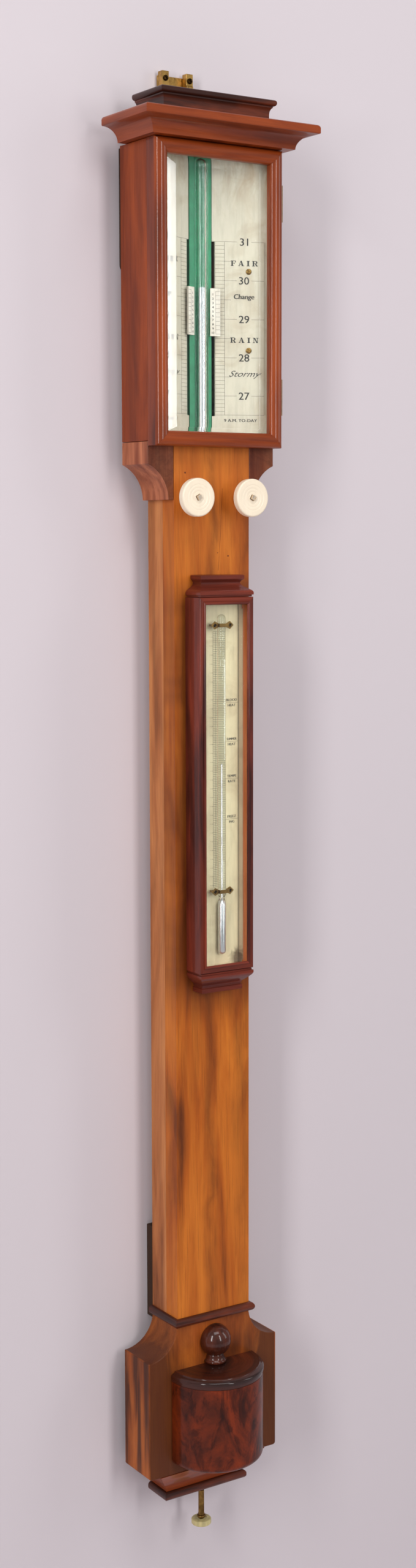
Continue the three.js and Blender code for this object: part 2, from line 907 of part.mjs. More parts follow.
// Tube, backing strip, mercury and cistern

const tubeTopZ = railFootZ - tubeTopGap;
const cisternTopZ = trunkFootZ - cisternDrop;
const padFootZ = baseFootZ + padPlateRise;
const padTopZ = padFootZ + padPlateThick;
const bagFootZ = padTopZ + seatGap;
const bagTopZ = bagFootZ + bagHeight;
const cisternFootZ = bagTopZ + seatGap;
const poolTopZ = cisternTopZ - poolDrop;
const tubeFootZ = poolTopZ - (poolTopZ - cisternFootZ) * tubeDipShare;

function tubeBacking() {
  const half = backingWidth / 2;
  const front = frontY + backingSetback;
  const strip = box(-half, half, front, headBackY - seatGap, floorZ + seatGap, railFootZ - seatGap);
  const groove = rod(tubeRadius + seatGap, 0, tubeY, floorZ - overrun, railFootZ + overrun);
  return cut(strip, groove);
}

function glassTube() {
  const crown = arcPoints(0, tubeTopZ - tubeRadius, tubeRadius, 0, Math.PI / 2);
  const vault = arcPoints(0, tubeTopZ - tubeRadius, boreRadius, Math.PI / 2, 0);
  const start = [boreRadius, tubeFootZ];
  const profile = [start, [tubeRadius, tubeFootZ], ...crown, ...vault, start];
  return turned(profile, 0, tubeY, rodSides);
}

function mercury() {
  const pool = rod(cisternRadius - cisternWall - seatGap, 0, tubeY, cisternFootZ, poolTopZ, roundSides);
  const tubeSpace = rod(tubeRadius + seatGap, 0, tubeY, tubeFootZ - seatGap, poolTopZ + overrun);
  const column = rod(boreRadius - seatGap, 0, tubeY, tubeFootZ - overrun, mercuryTopZ);
  return join(cut(pool, tubeSpace), column);
}

function cistern() {
  const inner = cisternRadius - cisternWall;
  const profile = [
    [tubeRadius + seatGap, cisternTopZ],
    [cisternRadius, cisternTopZ],
    [cisternRadius, cisternFootZ],
    [inner, cisternFootZ],
    [inner, cisternTopZ - cisternRoof],
    [tubeRadius + seatGap, cisternTopZ - cisternRoof],
    [tubeRadius + seatGap, cisternTopZ],
  ];
  return turned(profile, 0, tubeY, roundSides);
}

function leatherBag() {
  return rod(bagRadius, 0, tubeY, bagFootZ, bagTopZ);
}

function padPlate() {
  return rod(padPlateRadius, 0, screwY, padFootZ, padTopZ);
}

// Portable screw, its bush and the disc that turns it

const stemFootZ = mouldFootZ - stemDrop;

function portableScrew() {
  const neckTop = mouldFootZ - seatGap;
  const neckFoot = neckTop - stemNeckHeight;
  const profile = [
    [0, padFootZ - seatGap],
    [stemRadius, padFootZ - seatGap],
    [stemRadius, neckTop],
    [stemNeckRadius, neckTop],
    [stemNeckRadius, neckFoot],
    [stemRadius, neckFoot],
    [stemRadius, stemFootZ + collarHeight],
    [collarRadius, stemFootZ + collarHeight],
    [collarRadius, stemFootZ],
    [tailRadius, stemFootZ],
    [tailRadius, stemFootZ - tailLength],
    [0, stemFootZ - tailLength],
  ];
  return turned(profile, 0, screwY, rodSides);
}

function tailDisc() {
  const top = stemFootZ - seatGap;
  const foot = top - tailDiscHeight;
  const hole = tailRadius + seatGap;
  const seat = stemFootZ - tailLength - seatGap;
  const profile = [
    [0, foot],
    [tailDiscRadius - tailDiscRound, foot],
    [tailDiscRadius, foot + tailDiscRound],
    [tailDiscRadius, top - tailDiscRound],
    [tailDiscRadius - tailDiscRound, top],
    [hole, top],
    [hole, seat],
    [0, seat],
  ];
  return turned(profile, 0, screwY, roundSides);
}

function screwBush() {
  const hole = stemRadius + runGap;
  const top = mouldFootZ + bushHeight;
  const start = [hole, mouldFootZ];
  const profile = [start, [bushRadius, mouldFootZ], [bushRadius, top], [hole, top], start];
  return turned(profile, 0, screwY, rodSides);
}

function stemHole() {
  return rod(stemRadius + runGap, 0, screwY, mouldFootZ - overrun, baseFootZ + overrun);
}

function bushHole() {
  return rod(bushRadius + seatGap, 0, screwY, mouldFootZ - overrun, mouldFootZ + bushHeight + seatGap);
}

// Base, its mouldings and the cistern cover

function baseBody() {
  const shape = new THREE.Shape();
  const radius = baseHalf - trunkHalf;
  const foot = baseFootZ;
  shape.moveTo(-trunkHalf, trunkFootZ);
  shape.absarc(-baseHalf, trunkFootZ, radius, 0, -Math.PI / 2, true);
  roundedFoot(shape, baseHalf, foot, baseCornerRadius);
  shape.absarc(baseHalf, trunkFootZ, radius, -Math.PI / 2, -Math.PI, true);
  const pocket = rod(cisternRadius + seatGap, 0, tubeY, padTopZ, cisternTopZ + seatGap, roundSides);
  const padSpace = rod(padPlateRadius + runGap, 0, screwY, foot - overrun, padTopZ + overrun, roundSides);
  const hole = rod(tubeRadius + channelSlack, 0, tubeY, cisternTopZ - overrun, trunkFootZ + overrun);
  return cut(panel(shape, frontY, backY), pocket, padSpace, hole);
}

function astragal() {
  const top = trunkFootZ + astragalRise;
  const round = astragalHeight / 2;
  const levels = noseLevels(
    trunkHalf + astragalReach, frontY - astragalReach, top - astragalHeight, top, round, round,
  );
  const inner = trunkHalf + seatGap;
  const low = top - astragalHeight - overrun;
  const space = box(-inner, inner, frontY - seatGap, backY + overrun, low, top + overrun);
  return cut(stack(levels, backY), space);
}

const coveShares = [[0, 0], [0.244, 0.284], [0.483, 0.526], [0.806, 0.862], [1, 1]];

function neckCove() {
  const half = coveTopWidth / 2;
  const top = baseFootZ - seatGap;
  const levels = coveShares.map(([drop, inset]) => [
    half - coveInset * inset, frontY + coveInset * inset, top - (top - coveFootZ) * drop,
  ]);
  return cut(stack(levels.reverse(), backY), stemHole(), bushHole());
}

function baseMould() {
  const half = coveTopWidth / 2 - coveInset + baseMouldReach;
  const front = frontY + coveInset - baseMouldReach;
  const levels = noseLevels(half, front, mouldFootZ, coveFootZ - seatGap, baseMouldRound, baseMouldRound);
  return cut(stack(levels, backY), bushHole());
}

function frontHalf(geometry) {
  const reach = coverRadius + overrun;
  const region = box(-reach, reach, frontY - reach, frontY - seatGap, baseFootZ, trunkFootZ);
  return keep(geometry, region);
}

const rimTopZ = trunkFootZ - coverDrop;
const rimFootZ = rimTopZ - rimHeight;

function cisternCover() {
  const foot = baseFootZ + coverFootRise;
  const top = rimFootZ - seatGap;
  const inner = coverRadius - coverWall;
  const round = coverFootRound;
  const turn = arcPoints(coverRadius - round, foot + round, round, -Math.PI / 2, 0);
  const hollow = [[inner, top], [inner, foot + coverWall], [0, foot + coverWall]];
  const profile = [[0, foot], ...turn, [coverRadius, top], ...hollow];
  return frontHalf(turned(profile, 0, frontY, roundSides));
}

const rimShares = [
  [0, 1], [0.12, 0.9], [0.25, 0.3], [0.4, 0], [0.6, 0], [0.75, 0.05], [0.9, 0.12], [1, 0.15],
];

function coverRim() {
  const nose = coverRadius + rimReach;
  const outline = rimShares.map(([drop, inset]) => [nose - rimTopInset * inset, rimTopZ - rimHeight * drop]);
  return frontHalf(turned([[0, rimTopZ], ...outline, [0, rimFootZ]], 0, frontY, roundSides));
}

const neckShares = [[0, 1], [0.12, 1.08], [0.3, 1.1], [0.42, 1], [0.55, 0.92], [0.8, 0.86], [0.92, 0.84]];

function ballFinial() {
  const centre = trunkFootZ - ballDrop;
  const foot = rimTopZ + seatGap;
  const start = -Math.acos(ballNeckWaist / ballRadius);
  const ball = arcPoints(0, centre, ballRadius, start, Math.PI / 2, 2 * arcSteps);
  const neckTop = ball[0][1];
  const neck = neckShares.map(([rise, radius]) => [ballNeckRadius * radius, foot + (neckTop - foot) * rise]);
  const profile = [[0, foot], ...neck, ...ball];
  return frontHalf(turned(profile, 0, frontY - ballProud, rodSides));
}

// Thermometer box

const boxHalf = boxWidth / 2;
const boxTopZ = shoulderFootZ - boxDrop;
const boxFootZ = boxTopZ - boxHeight;
const boxFaceY = frontY - boxReach;
const boxBackY = frontY - seatGap;
const boxRebateInset = boxRail - boxRebate;
const boxPaneY = boxFaceY + boxLip + seatGap;
const clipFaceY = boxPaneY + boxPaneThick + seatGap;
const thermY = clipFaceY + clipThick + seatGap + thermTubeRadius;
const boxScaleY = thermY + Math.max(thermTubeRadius, thermBulbRadius) + seatGap;

// The members are rebated from the front for the pane and the scale, which rests on a ledge behind it.
function thermometerBox() {
  const lipY = boxFaceY + boxLip;
  const ledgeY = boxScaleY + boxScaleThick + seatGap;
  const profile = [
    [0, boxBackY],
    [0, boxFaceY],
    [boxRail, boxFaceY],
    [boxRail, lipY],
    [boxRebateInset, lipY],
    [boxRebateInset, ledgeY],
    [boxRail, ledgeY],
    [boxRail, boxBackY],
  ];
  return mitred(profile, boxHalf, boxFootZ, boxTopZ);
}

const headMouldShares = [
  [0, 0.17], [0.07, 0.17], [0.08, 0.03], [0.2, 0.03], [0.28, 0.15], [0.36, 0.42], [0.44, 0.71],
  [0.54, 0.93], [0.65, 1], [0.75, 0.85], [0.8, 0.71], [0.97, 0.71], [1, 0.85],
];
const footMouldShares = [
  [0, 0.17], [0.07, 0.17], [0.08, 0.03], [0.2, 0.03], [0.3, 0.17], [0.42, 0.42], [0.52, 0.66],
  [0.6, 0.86], [0.7, 0.97], [0.76, 0.97], [0.78, 0.86], [0.96, 0.86], [1, 0.97],
];

function boxMould(shares, start, height) {
  const levels = shares.map(([rise, inset]) => [
    boxHalf - capMouldInset * inset, boxFaceY + capMouldInset * inset * capFrontShare, start + height * rise,
  ]);
  return stack(levels, boxBackY);
}

function thermometerPane() {
  const inset = boxRebateInset + seatGap;
  return bevelledPane(
    boxHalf - inset, boxFootZ + inset, boxTopZ - inset,
    boxPaneY, boxPaneThick, boxPaneBevel, boxPaneBevelDepth,
  );
}

function thermometerScale() {
  const inset = boxRebateInset + seatGap;
  const half = boxHalf - inset;
  return box(-half, half, boxScaleY, boxScaleY + boxScaleThick, boxFootZ + inset, boxTopZ - inset);
}

function thermometerTube() {
  const top = boxTopZ - thermTopInset;
  const foot = boxFootZ + thermBottomInset;
  const crown = arcPoints(0, top - thermTubeRadius, thermTubeRadius, 0, Math.PI / 2);
  const dome = arcPoints(0, foot + thermBulbRadius, thermBulbRadius, -Math.PI / 2, 0);
  const shoulder = arcPoints(0, foot + thermBulbHeight - thermBulbRadius, thermBulbRadius, 0, Math.PI / 4);
  const neckTop = foot + thermBulbHeight + thermNeckHeight;
  const neck = [
    [thermNeckRadius, foot + thermBulbHeight],
    [thermNeckRadius, neckTop - thermNeckHeight / 3],
    [thermTubeRadius, neckTop],
  ];
  const profile = [...dome, ...shoulder, ...neck, ...crown];
  return turned(profile, 0, thermY, rodSides);
}

// A strap over the tube with two pointed ears, each on a post that stands on the scale.
function thermometerClip(z) {
  const half = clipWidth / 2;
  const inner = thermTubeRadius + seatGap;
  const outer = inner + clipThick;
  const high = clipHeight / 2;
  const bridgeHigh = clipBridgeHeight / 2;
  const earFace = clipFaceY + clipEarDrop;
  const earRear = earFace + clipThick;
  const broad = (inner + half) / 2;
  const bridge = box(-outer, outer, clipFaceY, clipFaceY + clipThick, z - bridgeHigh, z + bridgeHigh);
  const parts = [-1, 1].flatMap((side) => {
    const outline = [
      [side * inner, z - bridgeHigh], [side * broad, z - high], [side * half, z],
      [side * broad, z + high], [side * inner, z + bridgeHigh],
    ];
    const post = side * (broad - clipLegWidth / 2);
    return [
      box(side * inner, side * outer, clipFaceY, earRear, z - bridgeHigh, z + bridgeHigh),
      panel(shapeOf(side > 0 ? outline : outline.reverse()), earFace, earRear),
      box(post, post + side * clipLegWidth, earFace, boxScaleY - seatGap, z - clipLegWidth / 2, z + clipLegWidth / 2),
    ];
  });
  return join(bridge, ...parts);
}

// Assembly

add('trunk_back', trunkBack(), 'walnut');
add('trunk_front', trunkFront(), 'walnut');
add('upper_wall_pad', upperPad(), 'darkWood');
add('lower_wall_pad', lowerPad(), 'darkWood');
add('shoulder_block_right', shoulderBlock(), 'mahogany');
add('shoulder_block_left', mirrored(shoulderBlock()), 'mahogany');
add('head_side_right', headSide(), 'mahogany');
add('head_side_left', mirrored(headSide()), 'mahogany');
add('head_back', headBack(), 'mahogany');
add('head_rail', headRail(), 'mahogany');
add('cornice', cornice(), 'mahogany');
add('pediment_cap', cap(), 'darkWood');
add('hanger_plate', hangerPlate(), 'brass');
add('hanger_post_left', hangerPost(-1), 'brass');
add('hanger_post_right', hangerPost(1), 'brass');
add('hanger_screw_left', hangerScrew(-1), 'brass');
add('hanger_screw_right', hangerScrew(1), 'brass');

add('door_frame', doorFrame(), 'mahogany');
add('door_glass', doorPane(), 'glass');
const hingeHeights = { upper: doorTopZ - hingeInset, lower: doorFootZ + hingeInset };
for (const [place, z] of Object.entries(hingeHeights)) {
  add(`hinge_fixed_leaf_${place}`, fixedLeaf(z), 'brass');
  add(`hinge_door_leaf_${place}`, doorLeaf(z), 'brass');
}

add('register_plate_right', rightPlate(), 'bone');
add('register_plate_left', mirrored(registerPlate()), 'bone');
add('plate_screw_upper', plateScrew(upperScrewDrop), 'brass');
add('plate_screw_lower', plateScrew(lowerScrewDrop), 'brass');
add('vernier_right', vernier(), 'bone');
add('vernier_left', mirrored(vernier()), 'bone');
add('vernier_rack_right', rack(), 'brass');
add('vernier_rack_left', mirrored(rack()), 'brass');
add('knob_arbor_right', arbor(), 'brass');
add('knob_arbor_left', mirrored(arbor()), 'brass');
add('setting_knob_right', knob(), 'boneDisc');
add('setting_knob_left', mirrored(knob()), 'boneDisc');

add('tube_backing', tubeBacking(), 'greenPaint');
add('glass_tube', glassTube(), 'glass');
add('mercury', mercury(), 'mercury');
add('cistern', cistern(), 'boxwood');
add('leather_bag', leatherBag(), 'leather');
add('pad_plate', padPlate(), 'brass');
add('portable_screw', portableScrew(), 'brass');
add('portable_disc', tailDisc(), 'boneDisc');
add('screw_bush', screwBush(), 'brass');

add('thermometer_box', thermometerBox(), 'mahogany');
add('thermometer_head_mould', boxMould(headMouldShares, boxTopZ + seatGap, headCapHeight), 'mahogany');
add('thermometer_foot_mould', boxMould(footMouldShares, boxFootZ - seatGap, -footCapHeight), 'mahogany');
add('thermometer_glass', thermometerPane(), 'glass');
add('thermometer_scale', thermometerScale(), 'bone');
add('thermometer_tube', thermometerTube(), 'glass');
add('thermometer_clip_upper', thermometerClip(boxTopZ - upperClipDrop), 'brass');
add('thermometer_clip_lower', thermometerClip(boxFootZ + lowerClipRise), 'brass');

add('astragal', astragal(), 'darkWood');
add('base_body', baseBody(), 'mahogany');
add('ball_finial', ballFinial(), 'darkWood');
add('cistern_cover', cisternCover(), 'burr');
add('cover_rim', coverRim(), 'darkWood');
add('neck_cove', neckCove(), 'mahogany');
add('base_mould', baseMould(), 'darkWood');

export default barometer;
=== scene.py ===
"""Victorian stick barometer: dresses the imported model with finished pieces, light and camera."""

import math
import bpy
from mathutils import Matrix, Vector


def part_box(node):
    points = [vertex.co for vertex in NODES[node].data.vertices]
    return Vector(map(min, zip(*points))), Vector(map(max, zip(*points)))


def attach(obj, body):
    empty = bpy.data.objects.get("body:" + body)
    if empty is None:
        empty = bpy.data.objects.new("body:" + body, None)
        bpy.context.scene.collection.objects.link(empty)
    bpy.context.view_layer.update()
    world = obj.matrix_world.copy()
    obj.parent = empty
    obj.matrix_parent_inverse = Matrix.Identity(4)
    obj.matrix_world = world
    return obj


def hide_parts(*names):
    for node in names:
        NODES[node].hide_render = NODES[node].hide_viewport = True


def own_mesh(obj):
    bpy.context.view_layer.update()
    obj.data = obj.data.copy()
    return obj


bl_info = {
    "name": "Stick barometer",
    "version": (1, 0, 0),
    "blender": (4, 5, 0),
    "location": "View3D > Sidebar > Barometer",
    "description": "Builds the finished pieces of a wall-hung stick barometer round its packed model",
    "category": "Add Mesh",
}

import bmesh
import bpy
import numpy as np
from bpy.props import FloatProperty, FloatVectorProperty, IntProperty, PointerProperty
from bpy.types import Operator, Panel, PropertyGroup

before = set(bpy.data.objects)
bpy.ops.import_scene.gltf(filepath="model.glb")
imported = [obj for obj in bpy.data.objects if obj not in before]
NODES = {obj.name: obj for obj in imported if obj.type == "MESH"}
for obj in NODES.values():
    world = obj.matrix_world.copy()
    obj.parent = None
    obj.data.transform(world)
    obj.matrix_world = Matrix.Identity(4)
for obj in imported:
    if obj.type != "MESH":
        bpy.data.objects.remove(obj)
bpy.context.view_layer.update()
MM = 0.001
INCH = 25.4 * MM


# Sizes and colours that a user would change


def length(name, description, millimetres):
    """A length in metres whose default is written in millimetres."""
    default = millimetres * MM
    return FloatProperty(
        name=name, description=description, default=default, min=0.0, subtype="DISTANCE", unit="LENGTH"
    )


def colour(name, description, red, green, blue):
    """A colour whose default is written on the usual 0 to 255 scale and kept as linear values."""
    share = np.array([red, green, blue]) / 255
    linear = np.where(share <= 0.04045, share / 12.92, ((share + 0.055) / 1.055) ** 2.4).tolist()
    return FloatVectorProperty(
        name=name, description=description, default=linear, min=0.0, max=1.0, subtype="COLOR", size=3
    )


class BarometerSizes(PropertyGroup):
    """Sizes of the fine detail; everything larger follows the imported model."""

    arris: length("Arris", "Rounding of the case's sharp edges", 0.6)
    brass_arris: length("Brass arris", "Rounding of the brass fittings' edges", 0.2)
    mitre_gap: length("Mitre gap", "Half the hairline between two mitred members", 0.05)
    ink_lift: length("Ink lift", "Thickness of engraved and inked marks", 0.03)
    hairline: length("Hairline", "Width of the register's fine lines", 0.16)
    numeral: length("Numeral", "Height of the inch numbers", 4.9)
    word: length("Word", "Height of the weather words", 3.5)
    small_word: length("Small word", "Height of the thermometer's words", 1.7)
    ring_depth: length("Ring depth", "Depth of the turned rings on a knob", 0.1)
    rings: IntProperty(name="Rings", description="Number of turned rings on a knob", default=3, min=0)
    slot_width: length("Slot width", "Width of a screw's slot", 0.7)
    slot_depth: length("Slot depth", "Depth of a screw's slot", 0.45)
    pane_drift: length("Pane drift", "How far the pane moves the marks, which stand nearer the middle", 1.0)
    warmth: FloatProperty(name="Warmth", description="Degrees that the thermometer shows", default=64.0)


class BarometerColours(PropertyGroup):
    """Colours of the woods, the metals, the scales and the stage."""

    gold_pale: colour("Golden walnut, pale", "Pale bands of the trunk", 214, 124, 40)
    gold_mid: colour("Golden walnut, middle", "Ground of the trunk", 176, 88, 22)
    gold_deep: colour("Golden walnut, deep", "Dark streaks of the trunk", 84, 38, 12)
    back_pale: colour("Trunk back, pale", "Pale bands of the trunk's back board", 214, 142, 84)
    back_mid: colour("Trunk back, middle", "Ground of the trunk's back board", 176, 104, 56)
    shoulder_pale: colour("Shoulder walnut, pale", "Pale bands of the shoulders", 196, 118, 78)
    tan_pale: colour("Tan walnut, pale", "Pale bands of the base", 194, 106, 38)
    tan_mid: colour("Tan walnut, middle", "Ground of the base", 154, 74, 22)
    tan_deep: colour("Tan walnut, deep", "Dark streaks of the base", 62, 28, 12)
    red_pale: colour("Red walnut, pale", "Pale bands of head, door and cornice", 160, 70, 20)
    red_mid: colour("Red walnut, middle", "Ground of head, door and cornice", 120, 46, 12)
    red_deep: colour("Red walnut, deep", "Dark bands of head, door and cornice", 64, 22, 8)
    dark_pale: colour("Dark moulding, pale", "Pale bands of the dark mouldings", 126, 52, 22)
    dark_deep: colour("Dark moulding, deep", "Ground of the dark mouldings", 54, 21, 11)
    case_pale: colour("Thermometer case, pale", "Pale bands of the thermometer case", 134, 52, 32)
    case_deep: colour("Thermometer case, deep", "Ground of the thermometer case", 62, 20, 14)
    burr_pale: colour("Burr, pale", "Pale figure of the cistern cover", 132, 48, 14)
    burr_deep: colour("Burr, deep", "Dark figure of the cistern cover", 48, 18, 8)
    pad: colour("Packing wood", "Old unpolished packing boards", 66, 46, 34)
    brass: colour("Brass", "Clean brass", 206, 164, 92)
    patina: colour("Patina", "Tarnish on the brass", 92, 66, 34)
    bone: colour("Bone", "Register plates", 192, 183, 164)
    vernier: colour("Vernier bone", "Verniers", 214, 205, 192)
    stain: colour("Stain", "Old stains on the plates", 150, 124, 92)
    knob: colour("Knob bone", "Setting knobs", 250, 234, 208)
    scale: colour("Thermometer scale", "Scale of the thermometer", 206, 192, 156)
    aged: colour("Aged bone", "Disc of the portable screw", 214, 200, 140)
    ink: colour("Ink", "Engraved lines and letters", 28, 26, 26)
    green: colour("Green paint", "Strip behind the tube", 44, 132, 92)
    quicksilver: colour("Mercury", "Liquid in the tube and the bulb", 236, 235, 238)
    leather: colour("Leather", "Bag of the cistern", 120, 88, 58)
    boxwood: colour("Boxwood", "Cistern", 190, 148, 90)
    wall: colour("Wall", "Pale wall and floor of the stage", 214, 205, 209)


def sizes():
    """The sizes set in the sidebar."""
    return bpy.context.scene.barometer_sizes


def colours():
    """The colours set in the sidebar."""
    return bpy.context.scene.barometer_colours


def box(name):
    """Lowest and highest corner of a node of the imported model."""
    return np.array(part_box(name))


# Surfaces


def grid_faces(rows, columns):
    """Four-sided faces between neighbouring points of a grid with that many rows and columns."""
    row, column = np.meshgrid(np.arange(rows - 1), np.arange(columns - 1), indexing="ij")
    first = row * columns + column
    return np.stack([first, first + columns, first + columns + 1, first + 1], -1).reshape(-1, 4)


def run(grid, axis):
    """Distance run along one direction of a grid, averaged over the other."""
    step = np.linalg.norm(np.diff(grid, axis=axis), axis=2).mean(axis=1 - axis)
    return np.concatenate([[0.0], np.cumsum(step)])


def closed(points):
    """A row of points with the first repeated at the end."""
    points = np.asarray(points, float)
    return np.vstack([points, points[:1]])


def arc(centre_u, centre_v, radius, start, end, steps=12):
    """Points at equal angles on a circle, from the start angle to the end angle in degrees."""
    angle = np.radians(np.linspace(start, end, steps + 1))
    return np.stack([centre_u + radius * np.cos(angle), centre_v + radius * np.sin(angle)], 1)


def eased(points, steps=6):
    """A smooth curve through points: a cubic per span, whose end slopes are half the neighbours' distance."""
    p = np.asarray(points, float)
    q = np.vstack([2 * p[0] - p[1], p, 2 * p[-1] - p[-2]])
    t = np.linspace(0, 1, steps, endpoint=False)[None, :, None]
    a, b, c, d = (q[i : i + len(p) - 1][:, None] for i in range(4))
    spans = 2 * b + (c - a) * t + (2 * a - 5 * b + 4 * c - d) * t**2 + (3 * b - a - 3 * c + d) * t**3
    return np.vstack([spans.reshape(-1, p.shape[1]) / 2, p[-1:]])


def lathe(profile, x, y, z=0.0, sides=64, upright=True, start=0.0, turn=360.0):
    """A profile of radius and height turned about an upright axis, or of radius and depth about one that
    runs front to back."""
    angle = np.radians(start + turn * np.linspace(0, 1, sides + 1))[:, None]
    radius, along = np.asarray(profile, float).T
    along = along[None, :] + 0 * angle
    if upright:
        return np.stack([x + radius * np.cos(angle), y + radius * np.sin(angle), z + along], -1)
    return np.stack([x + radius * np.cos(angle), y + along, z + radius * np.sin(angle)], -1)


def levels(half, front, depth, height, slope=1.0):
    """Levels of a moulding, each a half-width, a front and a height, set in by a depth."""
    return np.stack([half - depth, front + slope * depth, height], 1)


def nose(half, front, foot, top, lower, upper):
    """Levels of a nose whose lower and upper edges are rounded by those radii."""
    below = arc(-lower, foot + lower, lower, -90, 0, 8)
    above = arc(-upper, top - upper, upper, 0, 90, 8)
    out, height = np.vstack([below, above]).T
    return levels(half, front, -out, height)


def rectangle(left, right, foot, top):
    """Corners of an upright rectangle, from the lower left one round to the upper left one."""
    return np.stack([[left, foot], [right, foot], [right, top], [left, top]])


def members(profile, half, foot, top, gap):
    """The four mitred members of a frame: a closed profile of inset and depth runs along each side of a
    rectangle, and each end stops short of its mitre by the gap."""
    inset, depth = closed(profile).T
    corner = np.moveaxis(rectangle(-half + inset, half - inset, foot + inset, top - inset), 1, 2)
    grids = []
    for side, way in enumerate(((1, 0), (0, 1), (-1, 0), (0, -1))):
        shift = gap * np.array(way)
        ends = np.stack([corner[side] + shift, corner[(side + 1) % 4] - shift])
        grids.append(np.stack([ends[..., 0], np.broadcast_to(depth, ends.shape[:2]), ends[..., 1]], -1))
    return grids


def bevelled_pane(node, rear, edge, widths):
    """Rings of a pane from the middle of its rear face round its edge to the middle of its front face. The
    bevel's widths are given at left, right, foot and top, and its edge's depth at left and right."""
    (left, front, foot), (right, _, top) = box(node)
    at_left, at_right, at_foot, at_top = np.array(widths) * MM
    edge = front + (np.broadcast_to(edge, 2) * MM)[[0, 1, 1, 0, 0]]
    outer = closed(rectangle(left, right, foot, top))
    inner = closed(rectangle(left + at_left, right - at_right, foot + at_foot, top - at_top))
    spots = np.full((5, 2), [(left + right) / 2, (foot + top) / 2])
    rings = ((spots, rear), (outer, rear), (outer, edge), (inner, front), (spots, front))
    return np.stack([np.column_stack([ring[:, 0], np.full(5, y), ring[:, 1]]) for ring, y in rings])


def moved(grid, x, y, z, turn=0.0):
    """A grid turned about the upright axis by an angle and then moved."""
    c, s = math.cos(turn), math.sin(turn)
    gx, gy, gz = grid[..., 0], grid[..., 1], grid[..., 2]
    return np.stack([x + c * gx - s * gy, y + s * gx + c * gy, z + gz], -1)


def screw_head(radius, crown, rear, sides=96, rings=30):
    """A round head about the y axis: a shallow dome less a slot, from its middle to the rim and back."""
    s = sizes()
    angle = np.radians(np.linspace(0, 360, sides + 1))[:, None]
    reach = np.linspace(0, 1, rings)[None, :] * radius
    slot_angle, fall, slope = 0.6, 0.85, 0.12 * MM
    across = np.abs(reach * np.sin(angle + slot_angle))
    dome = -crown * np.sqrt(np.clip(1 - fall * (reach / radius) ** 2, 0, 1)) + 0 * angle
    bottom = np.clip((s.slot_width / 2 + slope - across) / slope, 0, 1)
    depth = dome + np.minimum(s.slot_depth, crown * 0.8) * bottom
    face = np.stack([reach * np.cos(angle), depth, reach * np.sin(angle)], -1)
    rim = lathe([[radius, 0.0], [radius, rear], [0.0, rear]], 0, 0, 0, sides, upright=False)
    return np.concatenate([face, rim], 1)


def place(name, mesh, body, finish, node=""):
    """Puts a finished mesh in the scene on its body, with its finish and the node that it stands for."""
    made = bpy.data.objects.new(name, mesh)
    bpy.context.scene.collection.objects.link(made)
    slot, paint = finishes()[finish]
    mesh.materials.clear()
    mesh.materials.append(paint.material)
    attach(made, body)
    if node:
        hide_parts(node)
    return made


def cleaned(mesh, crease, weld, whole):
    """Merges doubles, makes flat faces whole or turns faces outward, and shades up to the crease angle."""
    work = bmesh.new()
    work.from_mesh(mesh)
    bmesh.ops.remove_doubles(work, verts=work.verts, dist=weld)
    if whole:
        bmesh.ops.dissolve_limit(work, angle_limit=math.radians(0.5), verts=work.verts, edges=work.edges)
    else:
        bmesh.ops.dissolve_degenerate(work, edges=work.edges, dist=weld)
        bmesh.ops.recalc_face_normals(work, faces=work.faces)
    work.to_mesh(mesh)
    work.free()
    if "custom_normal" in mesh.attributes:
        mesh.attributes.remove(mesh.attributes["custom_normal"])
    mesh.shade_smooth()
    mesh.set_sharp_from_angle(angle=math.radians(crease))


GRAIN_STEP = 0.37


def piece(name, grids, finish, node="", body="case", ends=None, crease=34, weld=1e-6):
    """One piece from grids of points. The map named grain gives the run along columns and rows in metres,
    with a step between grids that gives each its own figure.
    ends closes each grid with a flat face at both ends of its rows or its columns."""
    points, faces, grain, first = [], [], [], 0
    for number, grid in enumerate(grids):
        rows, columns = grid.shape[:2]
        quads = grid_faces(rows, columns)
        place_u, place_v = np.meshgrid(run(grid, 0), run(grid, 1), indexing="ij")
        runs = np.stack([place_u, place_v + number * GRAIN_STEP], -1).reshape(-1, 2)
        flat = grid.reshape(-1, 3)
        faces.extend((quads + first).tolist())
        grain.append(runs[quads].reshape(-1, 2))
        indices = np.arange(rows * columns).reshape(rows, columns)
        edges = {"rows": (indices[0, :-1], indices[-1, :-1]), "columns": (indices[:-1, 0], indices[:-1, -1])}
        for loop in edges.get(ends, ()):
            spread = np.argsort(np.ptp(flat[loop], axis=0))[-2:]
            faces.append((loop + first).tolist())
            grain.append(flat[loop][:, spread])
        points.append(flat)
        first += rows * columns
    mesh = bpy.data.meshes.new(name)
    mesh.from_pydata(np.concatenate(points).tolist(), [], faces)
    mesh.uv_layers.new(name="grain").data.foreach_set("uv", np.concatenate(grain).ravel())
    cleaned(mesh, crease, weld, False)
    return place(name, mesh, body, finish, node)


def moulding(name, parts, back, finish, node):
    """A moulding that returns at both ends: the rectangle of each level runs from its front to the back."""
    half, front, height = np.vstack(parts).T
    rear = np.full_like(half, back)
    x = np.stack([-half, -half, half, half, -half])
    y = np.stack([rear, front, front, rear, rear])
    piece(name, [np.stack([x, y, np.broadcast_to(height, x.shape)], -1)], finish, node, ends="columns")


def turned(name, parts, y, sides, finish, node="", body="case"):
    """A piece whose profile of radius and height is turned about an upright axis at that depth."""
    return piece(name, [lathe(np.vstack(parts), 0, y, sides=sides)], finish, node, body)


def dressed(node, name, finish, rounded=0.0, body="case", crease=34):
    """A node's own shape as a new piece: doubles merged, flat faces made whole and edges rounded."""
    mesh = NODES[node].data.copy()
    mesh.name = name
    cleaned(mesh, crease, 1e-6, True)
    made = place(name, mesh, body, finish, node)
    if rounded:
        edge = made.modifiers.new("rounded edges", "BEVEL")
        edge.width = rounded
        edge.segments = 3
        edge.limit_method = "ANGLE"
        edge.angle_limit = math.radians(32)
        edge.harden_normals = True


